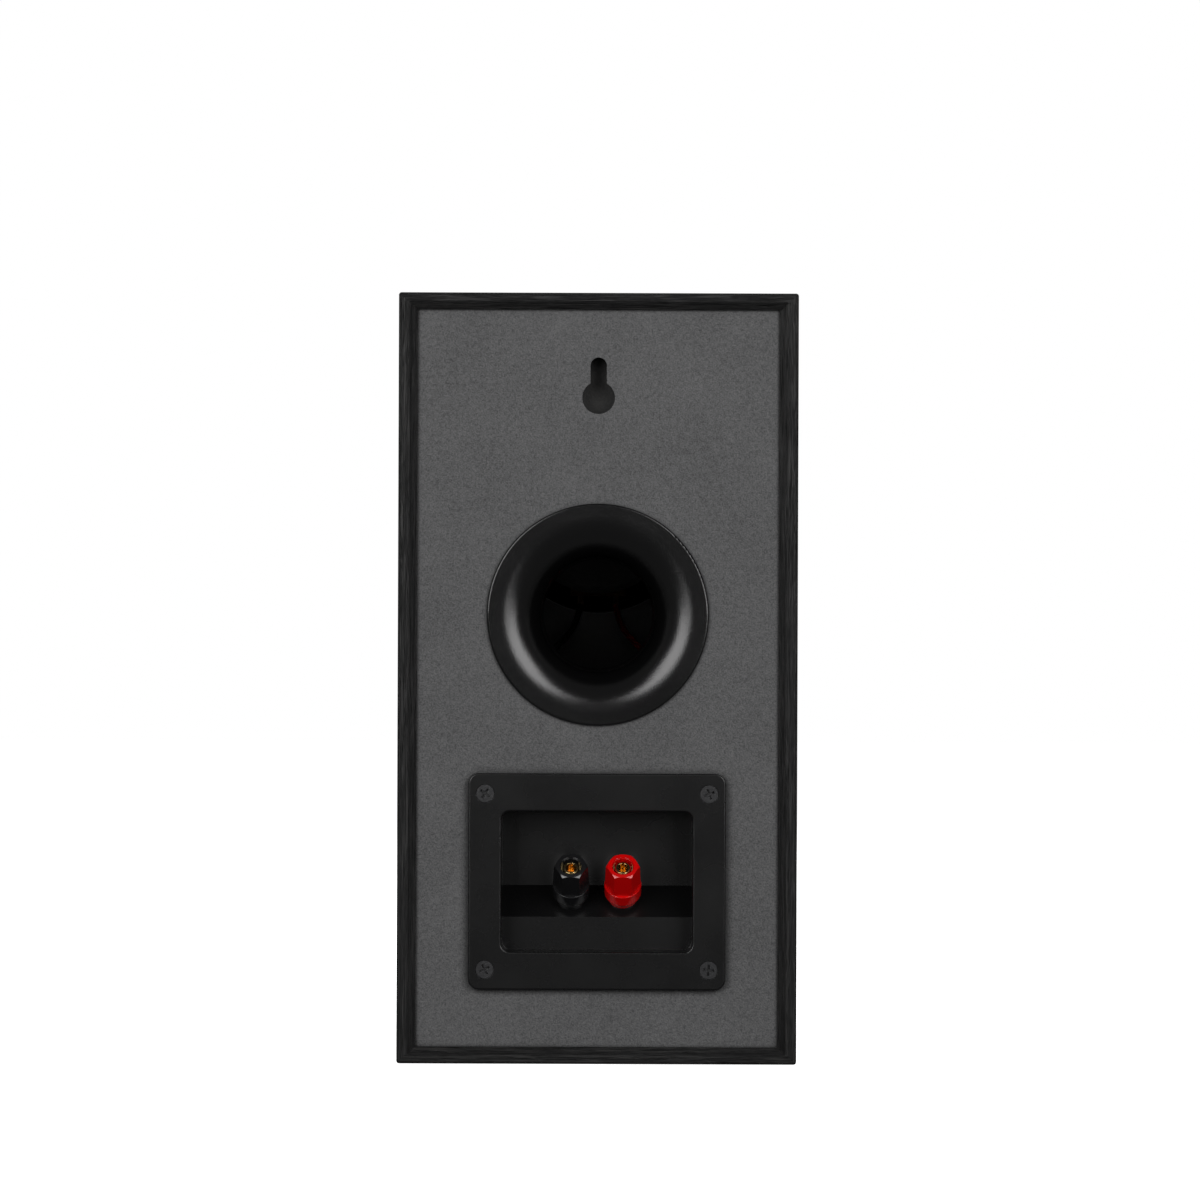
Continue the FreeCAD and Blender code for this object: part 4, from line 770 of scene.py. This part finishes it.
def cloth_rows(half_x, front, wrap):
    """The rings of the cloth from the middle out, over the edge and down the sides.

    Each is its inset from the outline, its y and its distance from the middle along the cloth.
    """
    flat_half = half_x - CLOTH_EDGE
    rows = []
    for i in range(CLOTH_RINGS):
        inset = (flat_half - CLOTH_SEAM) * (1 - i / (CLOTH_RINGS - 1))
        rows.append((inset + CLOTH_EDGE, front, flat_half - inset))
    for i in range(1, CLOTH_EDGE_STEPS + 1):
        a = math.pi / 2 * i / CLOTH_EDGE_STEPS
        rows.append((CLOTH_EDGE * (1 - math.sin(a)), front + CLOTH_EDGE * (1 - math.cos(a)),
                     flat_half + CLOTH_EDGE * a))
    for i in range(1, CLOTH_SIDE_STEPS + 1):
        down = (wrap - CLOTH_EDGE) * i / CLOTH_SIDE_STEPS
        rows.append((0.0, front + CLOTH_EDGE + down, flat_half + CLOTH_EDGE * math.pi / 2 + down))
    return rows


def laid_flat(value, half, beyond):
    """A coordinate of the cloth with its turned-down sides laid out flat."""
    at_edge = abs(abs(value) - half) < CLOTH_EDGE
    return value + math.copysign(beyond, value) * at_edge


def grille_cloth(finish):
    """Knit cloth pulled over the frame's front and down its sides, drawn in over the windows."""
    low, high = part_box("grille_cloth")
    half_x, half_z = (high.x - low.x) / 2, (high.z - low.z) / 2
    middle_z = (high.z + low.z) / 2
    front, wrap = low.y, high.y - low.y
    bar = (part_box("tweeter_waveguide")[0].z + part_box("woofer_basket")[1].z) / 2 - middle_z
    rows = cloth_rows(half_x, front, wrap)
    points, flat = [], []
    for inset, y, along in rows:
        beyond = max(along - (half_x - CLOTH_EDGE), 0)
        corner = max(CLOTH_CORNER - inset, CLOTH_SEAM / 2)
        for x, z in rounded_outline(half_x - inset, half_z - inset, corner):
            sag = sag_at(x, z, half_x, half_z, bar) if inset > CLOTH_EDGE else 0
            ripple = (HEM_RIPPLE * noise.noise(Vector((x, y, z)) * RIPPLES_PER_METRE)
                      * min((y - front) / wrap * 2, 1))
            points.append((x * (1 - ripple / half_x), y + sag, middle_z + z))
            flat.append((laid_flat(x, half_x, beyond), laid_flat(z, half_z, beyond), 0))
    count = len(points) // len(rows)
    faces = ring_faces(len(rows), count)
    faces.append(tuple(reversed(range(count))))
    piece = mesh_object("grille_cloth_knit", points, faces, finish)
    spread = piece.data.attributes.new(CLOTH_MAP, "FLOAT_VECTOR", "POINT")
    for i, where in enumerate(flat):
        spread.data[i].vector = where
    thicken = piece.modifiers.new("thickness", "SOLIDIFY")
    thicken.thickness = CLOTH
    thicken.offset = -1.0
    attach(piece, "grille")
    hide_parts("grille_cloth")


# ------------------------------------------------------------------ wadding
WAD_STEPS = 30
WAD_SQUARENESS = 5.0
WAD_LUMP = 2.6 * MM
WAD_LUMP_SIZE = 22 * MM
WAD_TUFT = 0.8 * MM
WAD_TUFT_SIZE = 5 * MM


def wadding(finish):
    """A soft block of fibre: a crowned, lumpy closed form inside the CAD block."""
    low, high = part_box("damping_wadding")
    centre, half = (low + high) / 2, (high - low) / 2
    points, index, faces = [], {}, []

    def corner(where):
        """The number of the point that a place on a cube from -1 to 1 is moved to."""
        key = tuple(round(v * WAD_STEPS) for v in where)
        if key not in index:
            spread = sum(abs(v) ** WAD_SQUARENESS for v in where) ** (1 / WAD_SQUARENESS)
            shape = Vector(where) / spread
            at = Vector([shape[k] * (half[k] - WAD_LUMP - WAD_TUFT) for k in range(3)])
            push = (WAD_LUMP * noise.noise(at / WAD_LUMP_SIZE)
                    + WAD_TUFT * noise.noise(at / WAD_TUFT_SIZE))
            index[key] = len(points)
            points.append(centre + at + at.normalized() * push)
        return index[key]

    grid = [2 * i / WAD_STEPS - 1 for i in range(WAD_STEPS + 1)]
    for axis, end, a, b in product((X, Y, Z), (-1, 1), range(WAD_STEPS), range(WAD_STEPS)):
        square = []
        for u, v in ((a, b), (a + 1, b), (a + 1, b + 1), (a, b + 1)):
            where = [0.0, 0.0, 0.0]
            where[axis] = end
            where[(axis + 1) % 3], where[(axis + 2) % 3] = grid[u], grid[v]
            square.append(corner(where))
        faces.append(square if end > 0 else square[::-1])
    piece = mesh_object("wadding_block", points, faces, finish)
    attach(piece, "cabinet")
    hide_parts("damping_wadding")


# ------------------------------------------------------------------ floor
def floor():
    """A plain pale floor that doesn't colour the object."""
    made, tree, shader = material("floor", (0.8, 0.8, 0.8), Roughness=0.6, Specular_IOR_Level=0.2,
                                  Emission_Color=WHITE, Emission_Strength=FLOOR_GLOW)
    faint = speckle(tree, place(tree), 2 * MM, 2.0)
    wire(tree, shader, Base_Color=blend_colours(tree, faint, grey(0.79), grey(0.81)))
    half = FLOOR_SIZE / 2
    corners = [(x * half, y * half, -FLOOR_DROP) for x, y in ((-1, -1), (1, -1), (1, 1), (-1, 1))]
    piece = mesh_object("floor", corners, [(0, 1, 2, 3)], made)
    piece.visible_glossy = False
    piece.visible_diffuse = False


camera()
lights()
white_surround()
bpy.context.scene.view_settings.view_transform = "Standard"
finishes = materials()
dress(finishes)
woofer_surround(finishes["butyl_rubber"])
woofer_spider(finishes["spider_cloth"])
tweeter_surround(finishes["dome_silk"])
grille_cloth(finishes["grille_knit"])
wadding(finishes["wadding"])
floor()
